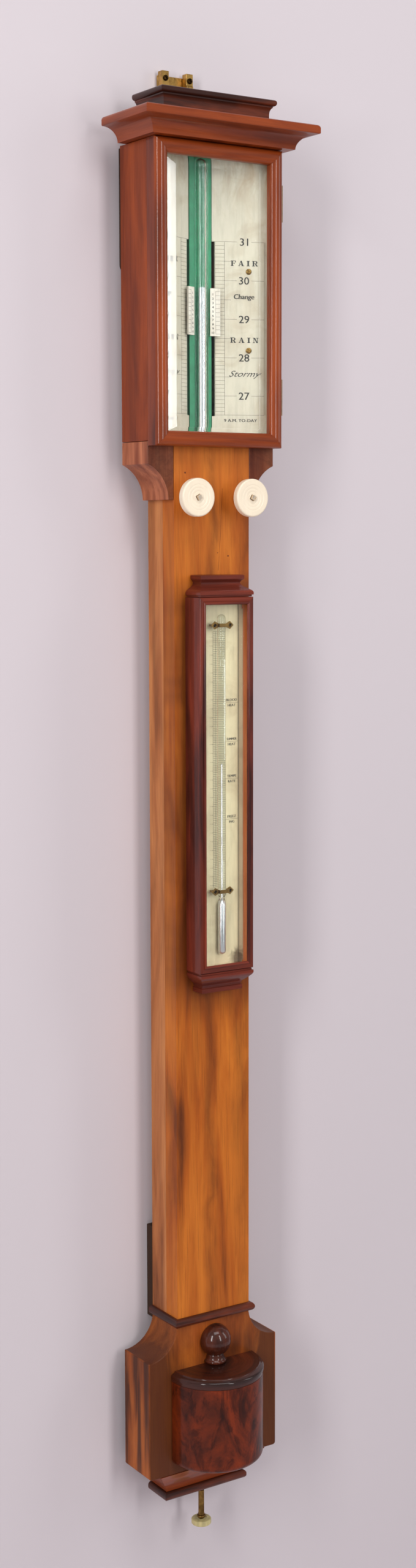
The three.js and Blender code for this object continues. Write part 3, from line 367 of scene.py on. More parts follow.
def finish_node(node, finish):
    """Gives a node that keeps its shape a better material."""
    mesh = NODES[node].data
    mesh.materials.clear()
    mesh.materials.append(finishes()[finish][1].material)


# Flat marks, each sheet of them as points of u and v, and faces


def strokes(rectangles):
    """Flat bars: each rectangle is left, right, foot and top."""
    left, right, foot, top = np.asarray(rectangles, float).reshape(-1, 4).T
    points = np.stack([left, foot, right, foot, right, top, left, top], 1).reshape(-1, 2)
    return points, np.arange(len(points)).reshape(-1, 4).tolist()


def level_line(left, right, height, line):
    """A level line as a rectangle."""
    return [left, right, height - line / 2, height + line / 2]


def upright_line(at, foot, top, line):
    """An upright line as a rectangle."""
    return [at - line / 2, at + line / 2, foot, top]


def words(text, height, u=0.0, v=0.0, stretch=1.0, weight=0.0, slant=0.0):
    """Letters of that height centred on u and v."""
    curve = bpy.data.curves.new("words", "FONT")
    curve.body = text
    curve.offset = weight
    curve.shear = slant
    curve.resolution_u = 3
    holder = bpy.data.objects.new("words", curve)
    bpy.context.scene.collection.objects.link(holder)
    mesh = bpy.data.meshes.new_from_object(holder.evaluated_get(bpy.context.evaluated_depsgraph_get()))
    flat = np.zeros(len(mesh.vertices) * 3)
    mesh.vertices.foreach_get("co", flat)
    points = flat.reshape(-1, 3)[:, :2]
    faces = [list(polygon.vertices) for polygon in mesh.polygons]
    bpy.data.objects.remove(holder)
    bpy.data.curves.remove(curve)
    bpy.data.meshes.remove(mesh)
    middle = (points.min(0) + points.max(0)) / 2
    scale = height / np.ptp(points[:, 1])
    points = (points - middle) * scale * np.array([stretch, 1.0])
    return points + np.array([u, v]), faces


def pressed(text, height, u, v, stretch=1.0, press=0.0, slant=0.0):
    """Letters set twice a hair apart, which thickens their upright strokes as a pressed pen does."""
    return [words(text, height, u + shift, v, stretch, 0.0, slant) for shift in (-press / 2, press / 2)]


def ring_part(centre_u, centre_v, outer, inner, start, end, steps=10):
    """A band between two ellipses, each given as its two radii, from the start angle to the end angle."""
    angle = np.radians(np.linspace(start, end, steps + 1))
    around = np.stack([np.cos(angle), np.sin(angle)], 1)
    middle = np.array([centre_u, centre_v])
    points = np.vstack([middle + around * np.array(outer), middle + around * np.array(inner)])
    first = np.arange(steps)
    return points, np.stack([first, first + 1, first + steps + 2, first + steps + 1], 1).tolist()


# Slab letters in shares of their height: bars as left, right, foot and top, slants as four corners
SERIF = 0.11
SLAB_WIDTHS = {"F": 0.92, "A": 1.1, "I": 0.56, "R": 1.06, "N": 1.03}
SLAB_BARS = {
    "F": [[0.12, 0.38, 0, 1], [0, 0.52, 0, SERIF], [0, 0.92, 1 - SERIF, 1], [0.82, 0.92, 0.64, 1],
          [0.38, 0.66, 0.46, 0.55], [0.6, 0.68, 0.36, 0.65]],
    "A": [[0.26, 0.76, 0.3, 0.39], [0, 0.34, 0, SERIF], [0.58, 1.1, 0, SERIF]],
    "I": [[0.14, 0.42, 0, 1], [0, 0.56, 0, SERIF], [0, 0.56, 1 - SERIF, 1]],
    "R": [[0.12, 0.38, 0, 1], [0, 0.5, 0, SERIF], [0, 0.6, 1 - SERIF, 1], [0.38, 0.6, 0.45, 0.54],
          [0.68, 1.06, 0, SERIF]],
    "N": [[0.14, 0.25, 0, 1], [0.78, 0.89, 0, 1], [0, 0.4, 0, SERIF], [0, 0.3, 1 - SERIF, 1],
          [0.62, 1.03, 1 - SERIF, 1]],
}
SLAB_SLANTS = {
    "A": [[0.1, 0, 0.2, 0, 0.56, 1, 0.44, 1], [0.66, 0, 0.98, 0, 0.62, 1, 0.42, 1]],
    "R": [[0.74, 0, 1.0, 0, 0.74, 0.5, 0.5, 0.5]],
    "N": [[0.68, 0, 0.89, 0, 0.4, 1, 0.12, 1]],
}


def slab_word(text, height, u, v, width):
    """A word of wide slab-serif capitals centred on u and v and spaced out to that width."""
    gap = (width / height - sum(SLAB_WIDTHS[letter] for letter in text)) / (len(text) - 1)
    at, sheets = -width / height / 2, []
    for letter in text:
        parts = [strokes(SLAB_BARS[letter])]
        parts += [(np.reshape(slant, (-1, 2)), [[0, 1, 2, 3]]) for slant in SLAB_SLANTS.get(letter, [])]
        if letter == "R":
            parts.append(ring_part(0.6, 0.725, (0.36, 0.275), (0.12, 0.185), -90, 90))
        for points, faces in parts:
            sheets.append(((points + np.array([at, -0.5])) * height + np.array([u, v]), faces))
        at += SLAB_WIDTHS[letter] + gap
    return sheets


def marks(name, sheets, onto, body="case", finish="ink"):
    """Sheets of marks put on a surface: onto turns u and v into places, and the ink has a thin wall."""
    points, faces, first = [], [], 0
    for flat, sheet_faces in sheets:
        points.append(flat)
        faces.extend([[corner + first for corner in face] for face in sheet_faces])
        first += len(flat)
    u, v = np.concatenate(points).T
    mesh = bpy.data.meshes.new(name)
    mesh.from_pydata(np.stack(onto(u, v), 1).tolist(), [], faces)
    made = place(name, mesh, body, finish)
    wall = made.modifiers.new("ink", "SOLIDIFY")
    wall.thickness = sizes().ink_lift
    wall.offset = 0.0


def flat_on(y):
    """Returns a function that puts marks on an upright plane at that depth."""
    return lambda u, v: (u, np.full_like(u, y), v)


# Materials


def dim(rgb, share):
    """A colour multiplied by a share."""
    return tuple(share * v for v in rgb)


def blend(first, second, share):
    """A colour with that share of the second one in the first."""
    return tuple((1 - share) * a + share * b for a, b in zip(first, second))


def opaque(value):
    """A colour, or a number as a grey, with full alpha."""
    return (*((value,) * 3 if isinstance(value, float) else value), 1.0)


class Paint:
    """A material with one surface shader. Its methods add shader nodes and return their outputs."""

    def __init__(self, name, **sockets):
        """The shader's sockets are set by name, with spaces written as underscores."""
        self.material = bpy.data.materials.new(name)
        self.material.use_nodes = True
        self.tree = self.material.node_tree
        self.tree.nodes.clear()
        self.shader = self.node("BsdfPrincipled")
        self.output = self.node("OutputMaterial", self.shader.outputs[0])
        for key, value in sockets.items():
            self.feed(key.replace("_", " "), value)

    def node(self, kind, *inputs, **settings):
        """A shader node with its first inputs and its settings."""
        made = self.tree.nodes.new("ShaderNode" + kind)
        for key, value in settings.items():
            setattr(made, key, value)
        for key, value in enumerate(inputs):
            self.feed(key, value, made)
        return made

    def feed(self, key, value, made=None):
        """Gives an input of a node, or else of the shader, a number, a colour or another node's output."""
        socket = (made or self.shader).inputs[key]
        if isinstance(value, bpy.types.NodeSocket):
            self.tree.links.new(value, socket)
        elif socket.type == "RGBA":
            socket.default_value = opaque(value)
        else:
            socket.default_value = value

    def math(self, way, *values):
        """A calculation with one value or two."""
        return self.node("Math", *values, operation=way).outputs[0]

    def between(self, value, low_in, high_in, low_out, high_out):
        """A value carried from one range to another and held at its ends."""
        return self.node("MapRange", value, low_in, high_in, low_out, high_out).outputs[0]

    def places(self):
        """Object coordinates."""
        return self.node("TexCoord").outputs["Object"]

    def axes(self):
        """Object coordinates along x, y and z."""
        return self.node("SeparateXYZ", self.places()).outputs

    def distance(self, weights, centre):
        """Distance of the places from a centre once both are multiplied by the weights."""
        flat = self.node("VectorMath", self.places(), weights, operation="MULTIPLY").outputs[0]
        centre = tuple(a * b for a, b in zip(weights, centre))
        return self.node("VectorMath", flat, centre, operation="DISTANCE").outputs["Value"]

    def noise(
        self, scale, detail, roughness, distortion=0.0, stretch=(1, 1, 1), shift=(0, 0, 0), grain=False
    ):
        """Noise between 0 and 1 at stretched places, which are object coordinates or the grain map."""
        source = self.node("UVMap", uv_map="grain").outputs[0] if grain else self.places()
        mapping = self.node("Mapping", source, shift, (0, 0, 0), stretch)
        made = self.node("TexNoise", mapping.outputs[0])
        inputs = {"Scale": scale, "Detail": detail, "Roughness": roughness, "Distortion": distortion}
        for key, value in inputs.items():
            self.feed(key, value, made)
        return made.outputs[0]

    def ramp(self, factor, *stops):
        """Colours between stops of position and colour."""
        made = self.node("ValToRGB", factor)
        elements = made.color_ramp.elements
        for number, (position, rgb) in enumerate(stops):
            element = elements[number] if number < 2 else elements.new(position)
            element.position = position
            element.color = opaque(rgb)
        return made.outputs[0]

    def mix(self, factor, first, second, way="MIX"):
        """Two colours mixed by a factor."""
        made = self.node("Mix", factor, data_type="RGBA", blend_type=way)
        self.feed(6, first, made)
        self.feed(7, second, made)
        return made.outputs[2]

    def colour(self, body):
        """Gives the surface its colour, which body keeps."""
        self.body = body
        self.feed("Base Color", body)

    def stain(self, amount, rgb, *more):
        """Mixes a colour into the surface's colour, for stains and, beside the thermometer, for painted
        shadow; more are values that multiply the amount.
        """
        for value in more:
            amount = self.math("MULTIPLY", amount, value)
        self.colour(self.mix(amount, self.body, rgb))

    def dull(self, cloud, first, last, start=0.3, end=0.7):
        """Carries the surface's roughness from the first to the last value over a range of the cloud."""
        self.feed("Roughness", self.between(cloud, start, end, first, last))

    def ragged(self, value, by, cloud, start=0.3, end=0.7):
        """A value moved up and down by a cloud."""
        return self.math("ADD", value, self.between(cloud, start, end, -by, by))

    def see_through(self, factor, rgb=(1.0, 1.0, 1.0)):
        """Makes the surface transparent by a factor."""
        clear = self.node("BsdfTransparent", rgb)
        either = self.node("MixShader", factor, self.shader.outputs[0], clear.outputs[0])
        self.feed(0, either.outputs[0], self.output)


# How small the scale of a wood's figure is along the grain, as a share of that across it
DRAWN = 0.055


def wood(name, tones, seed, band=90.0, soft=0.6, roughness=0.45, coat=0.35, polish=0.06, grain=False):
    """Polished wood: a broad cloudy figure drawn out along the grain, softer bands, and fine dark pores."""
    pale, mid, deep = tones
    paint = Paint(name, Coat_Weight=coat, Coat_Roughness=polish, Specular_IOR_Level=0.2)
    shift = (seed, seed * 0.7, seed * 0.3)
    broad, bands, fine = (
        paint.noise(*noise, (share, 1.0, 1.0) if grain else (1.0, 1.0, share), shift, grain)
        for share, *noise in (
            (DRAWN**0.55, 26.0, 5.0, 0.55, 1.1),
            (DRAWN**0.9, band, 6.0, 0.6, 0.5),
            (0.45 * DRAWN, 1300.0, 3.0, 0.6, 0.0),
        )
    )
    figure = paint.ramp(broad, (0.3, deep), (0.43, mid), (0.6, pale), (0.74, mid))
    banded = paint.ramp(bands, (0.3, deep), (0.47, mid), (0.62, pale))
    pores = paint.ramp(fine, (0.3, 0.6), (0.46, 1.0), (0.9, 1.05))
    paint.colour(paint.mix(0.6, paint.mix(soft, banded, figure), pores, "MULTIPLY"))
    paint.dull(fine, roughness + 0.12, roughness)
    bump = paint.node("Bump")
    for key, value in (("Height", fine), ("Strength", 0.18), ("Distance", 0.06 * MM)):
        paint.feed(key, value, bump)
    paint.feed("Normal", bump.outputs[0])
    return paint


def heartwood(name, tones, streaks, **grain):
    """Wood with dark streaks down the board, each a place across and a width in millimetres and a strength,
    and a painted shadow of the thermometer's case beside it, where the veneer is partly darker too."""
    paint = wood(name, tones, **grain)
    x, _, z = paint.axes()
    across = paint.ragged(x, 9 * MM, paint.noise(9.0, 4.0, 0.6, 0.4, (0.2, 0.2, 1)), 0.2, 0.8)
    patchy = paint.between(paint.noise(55.0, 5.0, 0.65, 1.2, (1, 1, 0.2)), 0.36, 0.62, 0.15, 1.0)
    for centre, width, strength in streaks:
        off = paint.math("ABSOLUTE", paint.math("SUBTRACT", across, centre * MM))
        paint.stain(paint.between(off, 0.0, width * MM, strength, 0.0), tones[2], patchy)
    # Painted shadow: the trunk darkens left of the thermometer's case, where the case shades it; the veneer
    # there is partly darker too
    (left, _, foot), (_, _, top) = box("thermometer_box")
    beside = paint.between(across, left - 15 * MM, left - 2 * MM, 0.0, 0.75)
    over = paint.between(z, top - 6 * MM, top + 14 * MM, 1.0, 0.0)
    paint.stain(beside, tones[2], over, paint.between(z, foot - 40 * MM, foot, 0.0, 1.0))
    return paint


def darker_outward(name, tones, centre, half, **grain):
    """Wood that grows darker away from one height on the middle line, with dark stripes on its sides."""
    paint = wood(name, tones, **grain)
    far = paint.distance((1.0, 0.0, 0.55), (0.0, 0.0, centre))
    far = paint.ragged(far, 9 * MM, paint.noise(60.0, 5.0, 0.6, 1.0, (1, 1, 0.3)))
    front = paint.between(far, 16 * MM, 42 * MM, 0.0, 0.84)
    across = paint.math("ABSOLUTE", paint.axes()[0])
    side = paint.between(across, half - 1.2 * MM, half - 0.4 * MM, 0.0, 1.0)
    stripe = paint.noise(95.0, 4.0, 0.5, 0.5, (0.2, 1, 0.09), (0.0, 0.31, 0.0))
    stripes = paint.ramp(stripe, (0.4, 0.9), (0.52, 0.25), (0.62, 0.0))
    paint.stain(paint.mix(side, front, stripes), tones[2])
    return paint


def faced(name, tones, plane, **grain):
    """Wood whose faces on one upright plane are darker and mottled."""
    paint = wood(name, tones, **grain)
    on_face = paint.between(paint.axes()[1], plane + 0.5 * MM, plane + 0.2 * MM, 0.0, 1.0)
    paint.stain(on_face, tones[2], paint.between(paint.noise(90.0, 6.0, 0.7, 0.6), 0.3, 0.7, 0.4, 0.85))
    return paint


def burr(name, pale, deep):
    """Burr veneer: soft clouds drawn down the face, darker veins in them, and fine eyes."""
    paint = Paint(name, Coat_Weight=0.3, Coat_Roughness=0.1, Roughness=0.4, Specular_IOR_Level=0.1)
    clouds = paint.noise(34.0, 6.0, 0.6, 1.4, (1, 1, 0.6))
    veins = paint.noise(70.0, 6.0, 0.65, 1.8, (1, 1, 0.45), (0.3, 0.1, 0.2))
    ground = paint.ramp(clouds, (0.34, deep), (0.5, blend(pale, deep, 0.5)), (0.66, pale))
    dark = paint.ramp(veins, (0.4, 0.28), (0.5, 1.0), (0.62, 1.0))
    eyes = paint.ramp(paint.noise(420.0, 4.0, 0.6, 0.8), (0.3, 0.6), (0.5, 1.0))
    paint.colour(paint.mix(0.6, paint.mix(0.75, ground, dark, "MULTIPLY"), eyes, "MULTIPLY"))
    return paint


def metal(name, bright, dull, tarnish, roughness=0.25):
    """Brass: clean metal with tarnish in clouds, rougher where it is dull."""
    paint = Paint(name, Metallic=1.0)
    clouds = paint.noise(210.0, 6.0, 0.65, 0.6)
    paint.colour(paint.ramp(clouds, (0.3, dull), (0.42 + 0.3 * tarnish, bright), (0.95, bright)))
    paint.dull(clouds, roughness + 0.2, roughness)
    return paint


def bone(name, body, dirt, depth=0.35, roughness=0.38):
    """Bone or ivory-like plate: pale ground with faint streaks and cloudy dirt."""
    paint = Paint(name, Coat_Weight=0.15, Coat_Roughness=0.2)
    clouds = paint.noise(42.0, 5.0, 0.6, 1.0)
    bright = tuple(min(1.0, 1.04 * v) for v in body)
    ground = paint.ramp(clouds, (0.3, blend(body, dirt, 0.35)), (0.52, body), (1.0, bright))
    streaks = paint.noise(380.0, 4.0, 0.6, 0.0, (1, 1, 0.12))
    lined = paint.ramp(streaks, (0.35, 1.0 - depth * 0.35), (0.55, 1.0))
    paint.colour(paint.mix(0.8, ground, lined, "MULTIPLY"))
    paint.dull(clouds, roughness + 0.1, roughness)
    return paint


def stained_bone(name, body, dirt):
    """Bone of the register plates: brown stains gather near the top, the foot and the outer edges."""
    paint = bone(name, body, dirt)
    near_top, near_edge, near_foot = np.array([[-92, -57], [37, 45], [-222, -239]]) * MM
    x, _, z = paint.axes()
    top = paint.between(z, *near_top, 0.0, 0.8)
    outer = paint.between(paint.math("ABSOLUTE", x), *near_edge, 0.0, 0.5)
    foot = paint.between(z, *near_foot, 0.0, 0.25)
    patch = paint.between(paint.noise(60.0, 5.0, 0.6, 1.5, (1, 1, 0.5)), 0.42, 0.66, 0.0, 1.0)
    paint.stain(paint.math("ADD", paint.math("ADD", top, outer), foot), dirt, patch)
    return paint


def corner_stain(name, body, dirt):
    """Bone of the thermometer's scale, with a dark stain round one spot near its lower corner."""
    x, z, reach = 15 * MM, -590 * MM, 8 * MM
    paint = bone(name, body, dirt)
    off = paint.distance((1.0, 0.0, 1.0), (x, 0.0, z))
    off = paint.ragged(off, 0.4 * reach, paint.noise(160.0, 5.0, 0.6, 0.8))
    paint.stain(paint.between(off, 0.25 * reach, reach, 0.9, 0.0), dim(dirt, 0.35))
    return paint


def clear_glass(name, tint):
    """Polished glass with a faint film in clouds, which lets the lamps' light through."""
    paint = Paint(name, Transmission_Weight=1.0, IOR=1.5)
    film = paint.noise(55.0, 5.0, 0.6, 1.0)
    paint.colour(paint.ramp(film, (0.35, tint), (0.65, dim(tint, 0.97))))
    paint.dull(film, 0.0, 0.04, 0.4, 0.75)
    paint.see_through(paint.node("LightPath").outputs["Is Shadow Ray"], dim(tint, 0.94))
    return paint


def mottled(name, rgb, scale, depth, **sockets):
    """A plain ground with gentle clouds, for ink, paint, leather and mercury."""
    paint = Paint(name, **sockets)
    paint.colour(paint.ramp(paint.noise(scale, 4.0, 0.6), (0.3, dim(rgb, 1 - depth)), (0.65, rgb)))
    return paint


FINISHES = {}


def finishes():
    """The record's slot and the material of each finish, made once."""
    if FINISHES:
        return FINISHES
    c = colours()
    gold = (c.gold_pale, c.gold_mid, c.gold_deep)
    back = (c.back_pale, c.back_mid, c.gold_deep)
    shoulder = (c.shoulder_pale, c.red_mid, c.red_deep)
    tan = (c.tan_pale, c.tan_mid, c.tan_deep)
    red = (c.red_pale, c.red_mid, c.red_deep)
    lining = (c.shoulder_pale, c.tan_mid, c.tan_deep)
    dark = (c.dark_pale, c.dark_deep, dim(c.dark_deep, 0.6))
    deeper = tuple(dim(shade, 0.62) for shade in dark)
    case = (c.case_pale, c.case_deep, dim(c.case_deep, 0.6))
    pad = (c.pad, dim(c.pad, 0.75), dim(c.pad, 0.5))
    boxwood = (c.boxwood, dim(c.boxwood, 0.85), dim(c.boxwood, 0.6))
    worn = tuple(0.45 + 0.5 * v for v in c.brass)
    half, palest_height = box("base_body")[1][0], -843 * MM
    plane = box("trunk_front")[0][1]
    run_along = {"band": 120.0, "grain": True}
    soft = {"seed": 1.7, "band": 60.0, "soft": 0.75, "coat": 0.12, "polish": 0.2}
    heart = {"seed": 0.4, "band": 70.0, "coat": 0.14, "polish": 0.25}
    face = {"seed": 4.4, "band": 120.0, "coat": 0.3, "polish": 0.15}
    streaks = ((-3.5, 6, 0.55), (24, 9, 0.4))
    groups = {
        "walnut": {
            "front": heartwood("golden walnut face", gold, streaks, **heart),
            "trunk": wood("golden walnut back", back, 1.1, 80.0, 0.5, coat=0.15, polish=0.3),
            "lining": wood("box lining", lining, 10.3, 120.0, coat=0.1, polish=0.3),
        },
        "mahogany": {
            "base": darker_outward("tan walnut", tan, palest_height, half, **soft),
            "head": wood("red walnut boards", red, 2.9, coat=0.2, polish=0.2),
            "shoulder": faced("shoulder walnut", shoulder, plane, **face),
            "frame": wood("red walnut mouldings", red, 3.3, coat=0.5, polish=0.05, grain=True),
            "case": wood("dark mahogany", case, 7.2, 140.0, coat=0.5, grain=True),
        },
        "dark_wood": {
            "moulding": wood("dark mouldings", dark, 5.1, coat=0.5, **run_along),
            "lid": wood("dark lid", deeper, 5.6, coat=0.6, **run_along),
            "ball": wood("dark turned wood", deeper, 6.0, 120.0, coat=0.7, polish=0.08),
            "pad": wood("packing wood", pad, 8.8, roughness=0.7, coat=0.0),
        },
        "burr_walnut": {"burr": burr("burr walnut", c.burr_pale, c.burr_deep)},
        "brass": {
            "brass": metal("brass", c.brass, c.patina, 0.5),
            "end_brass": metal("worn brass", worn, c.brass, 0.2, 0.3),
            "old_brass": metal("old brass", dim(c.brass, 0.6), c.patina, 0.9, 0.3),
            # Dark screws: tarnished metal; on the hanger the dark colour also paints the shade of the
            # recessed holes that the heads sit in
            "dark_metal": metal("dark screws", dim(c.patina, 0.35), dim(c.patina, 0.1), 0.6, 0.2),
        },
        "": {
            "plate": stained_bone("register plate", c.bone, c.stain),
            "bone": bone("vernier bone", c.vernier, c.stain),
            "scale": corner_stain("thermometer scale", c.scale, c.stain),
            "ink": mottled("ink", c.ink, 900.0, 0.4, Roughness=0.6),
        },
        "bone_disc": {
            "knob": bone("knob bone", c.knob, dim(c.knob, 0.85), 0.12, 0.3),
            "aged": bone("aged bone", c.aged, c.stain, 0.8),
        },
        "green_paint": {"green": mottled("green paint", c.green, 160.0, 0.25, Roughness=0.4)},
        "mercury": {"mercury": mottled("mercury", c.quicksilver, 60.0, 0.04, Metallic=0.9, Roughness=0.22)},
        "leather": {"leather": mottled("leather", c.leather, 700.0, 0.4, Roughness=0.8)},
        "boxwood": {"boxwood": wood("boxwood", boxwood, 9.9, roughness=0.5, coat=0.0)},
        "glass": {
            "glass": clear_glass("door glass", (0.97, 0.99, 0.985)),
            "tube": clear_glass("tube glass", (0.95, 0.98, 0.97)),
        },
    }
    FINISHES.update((name, (slot, paint)) for slot, group in groups.items() for name, paint in group.items())
    return FINISHES


# Stage


class BAROMETER_OT_stage(Operator):
    """Build the pale wall and floor, the lamps and the camera"""

    bl_idname = "barometer.stage"
    bl_label = "Stage"

    def execute(self, context):
        scene = context.scene
        scene.view_settings.view_transform = "Standard"
        wall_y = box("hanger_plate")[1][1] + 0.5 * MM
        wide, rise, floor_z, reach, bend = 4.0, 2.5, -1.45, 4.0, 0.3
        turn = arc(wall_y - bend, floor_z + bend, bend, 0, -90, 12)
        side = np.vstack([[[wall_y, rise]], turn, [[wall_y - reach, floor_z]]])
        grid = np.stack([np.column_stack([np.full(len(side), x), side]) for x in (wide, 0.0, -wide)])
        mesh = bpy.data.meshes.new("backdrop")
        mesh.from_pydata(grid.reshape(-1, 3).tolist(), [], grid_faces(*grid.shape[:2]).tolist())
        mesh.shade_smooth()
        paint = Paint("pale wall", Roughness=0.9, Specular_IOR_Level=0.1)
        wall = tuple(colours().wall)
        paint.colour(paint.ramp(paint.noise(1.6, 2.0, 0.55), (0.3, dim(wall, 0.97)), (0.7, wall)))
        paint.see_through(paint.node("NewGeometry").outputs["Backfacing"])
        mesh.materials.append(paint.material)
        backdrop = bpy.data.objects.new("backdrop", mesh)
        scene.collection.objects.link(backdrop)

        world = bpy.data.worlds.new("room")
        scene.world = world
        world.use_nodes = True
        background = world.node_tree.nodes["Background"]
        background.inputs["Color"].default_value = (0.86, 0.87, 0.92, 1.0)
        background.inputs["Strength"].default_value = 0.2

        lamps = (
            ("left softbox", (-1.75, -1.15, 0.15), (0.3, 1.5), 22.0),
            ("front softbox", (0.3, -2.1, 0.1), (0.3, 1.5), 15.0),
            ("right softbox", (1.72, -1.2, 0.1), (0.5, 1.5), 7.5),
            ("overhead softbox", (-0.2, -1.1, 1.3), (1.4, 0.7), 13.0),
        )
        target = np.array([0.0, -0.03, -0.45])
        for name, stand, size, power in lamps:
            data = bpy.data.lights.new(name, "AREA")
            data.shape = "RECTANGLE"
            data.size, data.size_y = size
            data.energy = power
            lamp = bpy.data.objects.new(name, data)
            lamp.location = stand
            aim = target - np.array(stand)
            tilt = math.atan2(math.hypot(aim[0], aim[1]), -aim[2])
            lamp.rotation_euler = (tilt, 0.0, math.atan2(aim[1], aim[0]) - math.pi / 2)
            scene.collection.objects.link(lamp)

        view = bpy.data.cameras.new("camera")
        view.sensor_fit = "VERTICAL"
        view.sensor_height = 36.0
        view.lens = 46.09
        camera = bpy.data.objects.new("camera", view)
        camera.location = (-0.74713, -1.17533, -0.3030)
        camera.rotation_euler = (math.radians(83.01), math.radians(0.131), math.radians(-33.249))
        scene.collection.objects.link(camera)
        scene.camera = camera
        return {"FINISHED"}


# Case


# Pin holes by place and radius, and the crack by its points and half its width, in millimetres
PIN_HOLES = ((-21.2, -260.0, 0.6), (13.0, -315.1, 0.55), (4.6, -313.0, 0.35))
CRACK = ((8.5, -270.0), (7.6, -285.2), (6.6, -303.6), (5.0, -324.9))
CRACK_HALF = (0.08, 0.0)


class BAROMETER_OT_case(Operator):
    """Build the trunk, the head's boards, the shoulders and the packing boards"""

    bl_idname = "barometer.case"
    bl_label = "Case boards"

    def execute(self, context):
        for names, ending, finish, share in (
            (("trunk_front",), "board", "front", 0.6),
            (("trunk_back",), "board", "trunk", 0.6),
            (("head_side_right", "head_side_left", "head_back", "head_rail"), "board", "head", 0.5),
            (("shoulder_block_right", "shoulder_block_left"), "shaped", "shoulder", 0.6),
            (("upper_wall_pad", "lower_wall_pad"), "board", "pad", 1.0),
        ):
            for name in names:
                dressed(name, f"{name}_{ending}", finish, sizes().arris * share)
        # The pin holes are flat discs in the dark moulding wood: painted shade inside the holes
        sheets = [ring_part(x * MM, z * MM, r * MM, 0.0, 0, 360, 12) for x, z, r in PIN_HOLES]
        path = np.array(CRACK) * MM
        edge = np.array(CRACK_HALF) * MM
        last = 2 * len(path) - 1
        links = [(k, last - k, last - 1 - k, k + 1) for k in range(len(path) - 1)]
        sheets.append((np.concatenate([path - edge, (path + edge)[::-1]]), links))
        face = box("trunk_front")[0][1] - 0.5 * sizes().ink_lift
        marks("trunk_pin_holes", sheets, flat_on(face), finish="moulding")
        return {"FINISHED"}


class BAROMETER_OT_pediment(Operator):
    """Build the cornice and the cap above it"""

    bl_idname = "barometer.pediment"
    bl_label = "Pediment"

    def execute(self, context):
        (_, front, soffit), (half, back, top) = box("cornice")
        nose_foot, inset, edge = top - 6 * MM, 12.1 * MM, 0.8 * MM
        angle = np.radians(np.linspace(0, 90, 19))
        hollow = inset - (inset - edge) * (1 - np.cos(angle))
        cove = levels(half, front, hollow, soffit + (nose_foot - soffit) * np.sin(angle))
        parts = [cove, nose(half, front, nose_foot, top, edge, 2.6 * MM)[1:]]
        moulding("cornice_moulding", parts, back, "frame", "cornice")

        (_, front, foot), (half, back, top) = box("pediment_cap")
        nose_foot = top - 4.2 * MM
        neck_top = nose_foot - 0.9 * MM
        rise, reach = eased([[0, 0.55], [0.08, 0.72], [0.2, 0.88], [0.38, 0.98], [0.6, 1], [0.8, 0.93],
                             [0.92, 0.78], [1, 0.62]]).T
        neck = levels(half, front, 3.8 * MM * reach, foot + (neck_top - foot) * rise)
        fillet = [[half - 2 * MM, front + 2 * MM, z] for z in (neck_top, nose_foot)]
        parts = [neck, fillet, nose(half, front, nose_foot, top, 1.9 * MM, 1.9 * MM)]
        moulding("cap_moulding", parts, back, "moulding", "pediment_cap")
        return {"FINISHED"}


class BAROMETER_OT_hanger(Operator):
    """Build the brass hanger: plate, posts and screws"""

    bl_idname = "barometer.hanger"
    bl_label = "Hanger"

    def execute(self, context):
        arris = sizes().brass_arris
        dressed("hanger_plate", "hanger_back_plate", "brass", arris)
        for side in ("left", "right"):
            dressed(f"hanger_post_{side}", f"hanger_ear_{side}", "brass", 3 * arris)
            start, end = box(f"hanger_screw_{side}")
            x, _, z = (start + end) / 2
            # The heads are dark: partly tarnish, partly painted shade of the recesses they sit in
            head = moved(screw_head((end[0] - start[0]) / 2, 0.8 * MM, 1.2 * MM), x, start[1] + 0.8 * MM, z)
            piece(f"hanger_screw_head_{side}", [head], "dark_metal", f"hanger_screw_{side}", crease=50)
        return {"FINISHED"}


# Door


class BAROMETER_OT_door(Operator):
    """Build the mitred door frame, its bevelled glass and the hinges"""

    bl_idname = "barometer.door"
    bl_label = "Door"

    def execute(self, context):
        (_, front, foot), (half, back, top) = box("door_frame")
        rail, crown = 9.7 * MM, 3.7 * MM
        face = front + crown
        lip, rebate = face + 2.7 * MM, 6.0 * MM
        angle = np.radians(np.linspace(0, 180, 25))
        round_face = np.stack([rail / 2 * (1 - np.cos(angle)), face - crown * np.sin(angle)], 1)
        profile = np.vstack([round_face, [[rail, lip], [rebate, lip], [rebate, back], [0, back]]])
        grids = members(profile, half, foot, top, sizes().mitre_gap)
        piece("door_mouldings", grids, "frame", "door_frame", "door", "rows", weld=1e-7)
        rear = box("door_glass")[0][1] + 3.8 * MM
        pane = bevelled_pane("door_glass", rear, (2.9, 1.2), (12.4, 9.1, 6.4, 9.1))
        piece("door_pane", [pane], "glass", "door_glass", "door", crease=1)
        for end in ("upper", "lower"):
            for leaf, body in (("fixed", "case"), ("door", "door")):
                name = f"hinge_{leaf}_leaf_{end}"
                dressed(name, name + "_brass", "old_brass", sizes().brass_arris, body)
        return {"FINISHED"}


# Register


# Where a register plate's face starts beside the tube, and the angle at which it comes forward
PLATE_X = 11.0 * MM
PLATE_Y = -26.2 * MM
CANT = math.radians(22.4)


def on_plate(side, lift):
    """Returns a function that puts marks on a register plate: u is the distance from the centre line, v the
    height, and lift the distance out from the plate's face. Side is 1 on the right and -1 on the left."""

    def onto(u, v):
        along = (np.abs(u) - PLATE_X) / math.cos(CANT)
        x = PLATE_X + along * math.cos(CANT) - lift * math.sin(CANT)
        y = PLATE_Y - along * math.sin(CANT) - lift * math.cos(CANT)
        return side * x, y, v

    return onto


def ruled(side, bars):
    """Bars laid out for the right side as a sheet of either side."""
    points, faces = strokes(bars)
    return points * np.array([side, 1.0]), faces


def height_of(inches):
    """Height of a mark of the register."""
    return -182.6 * MM + (inches - 28.0) * INCH


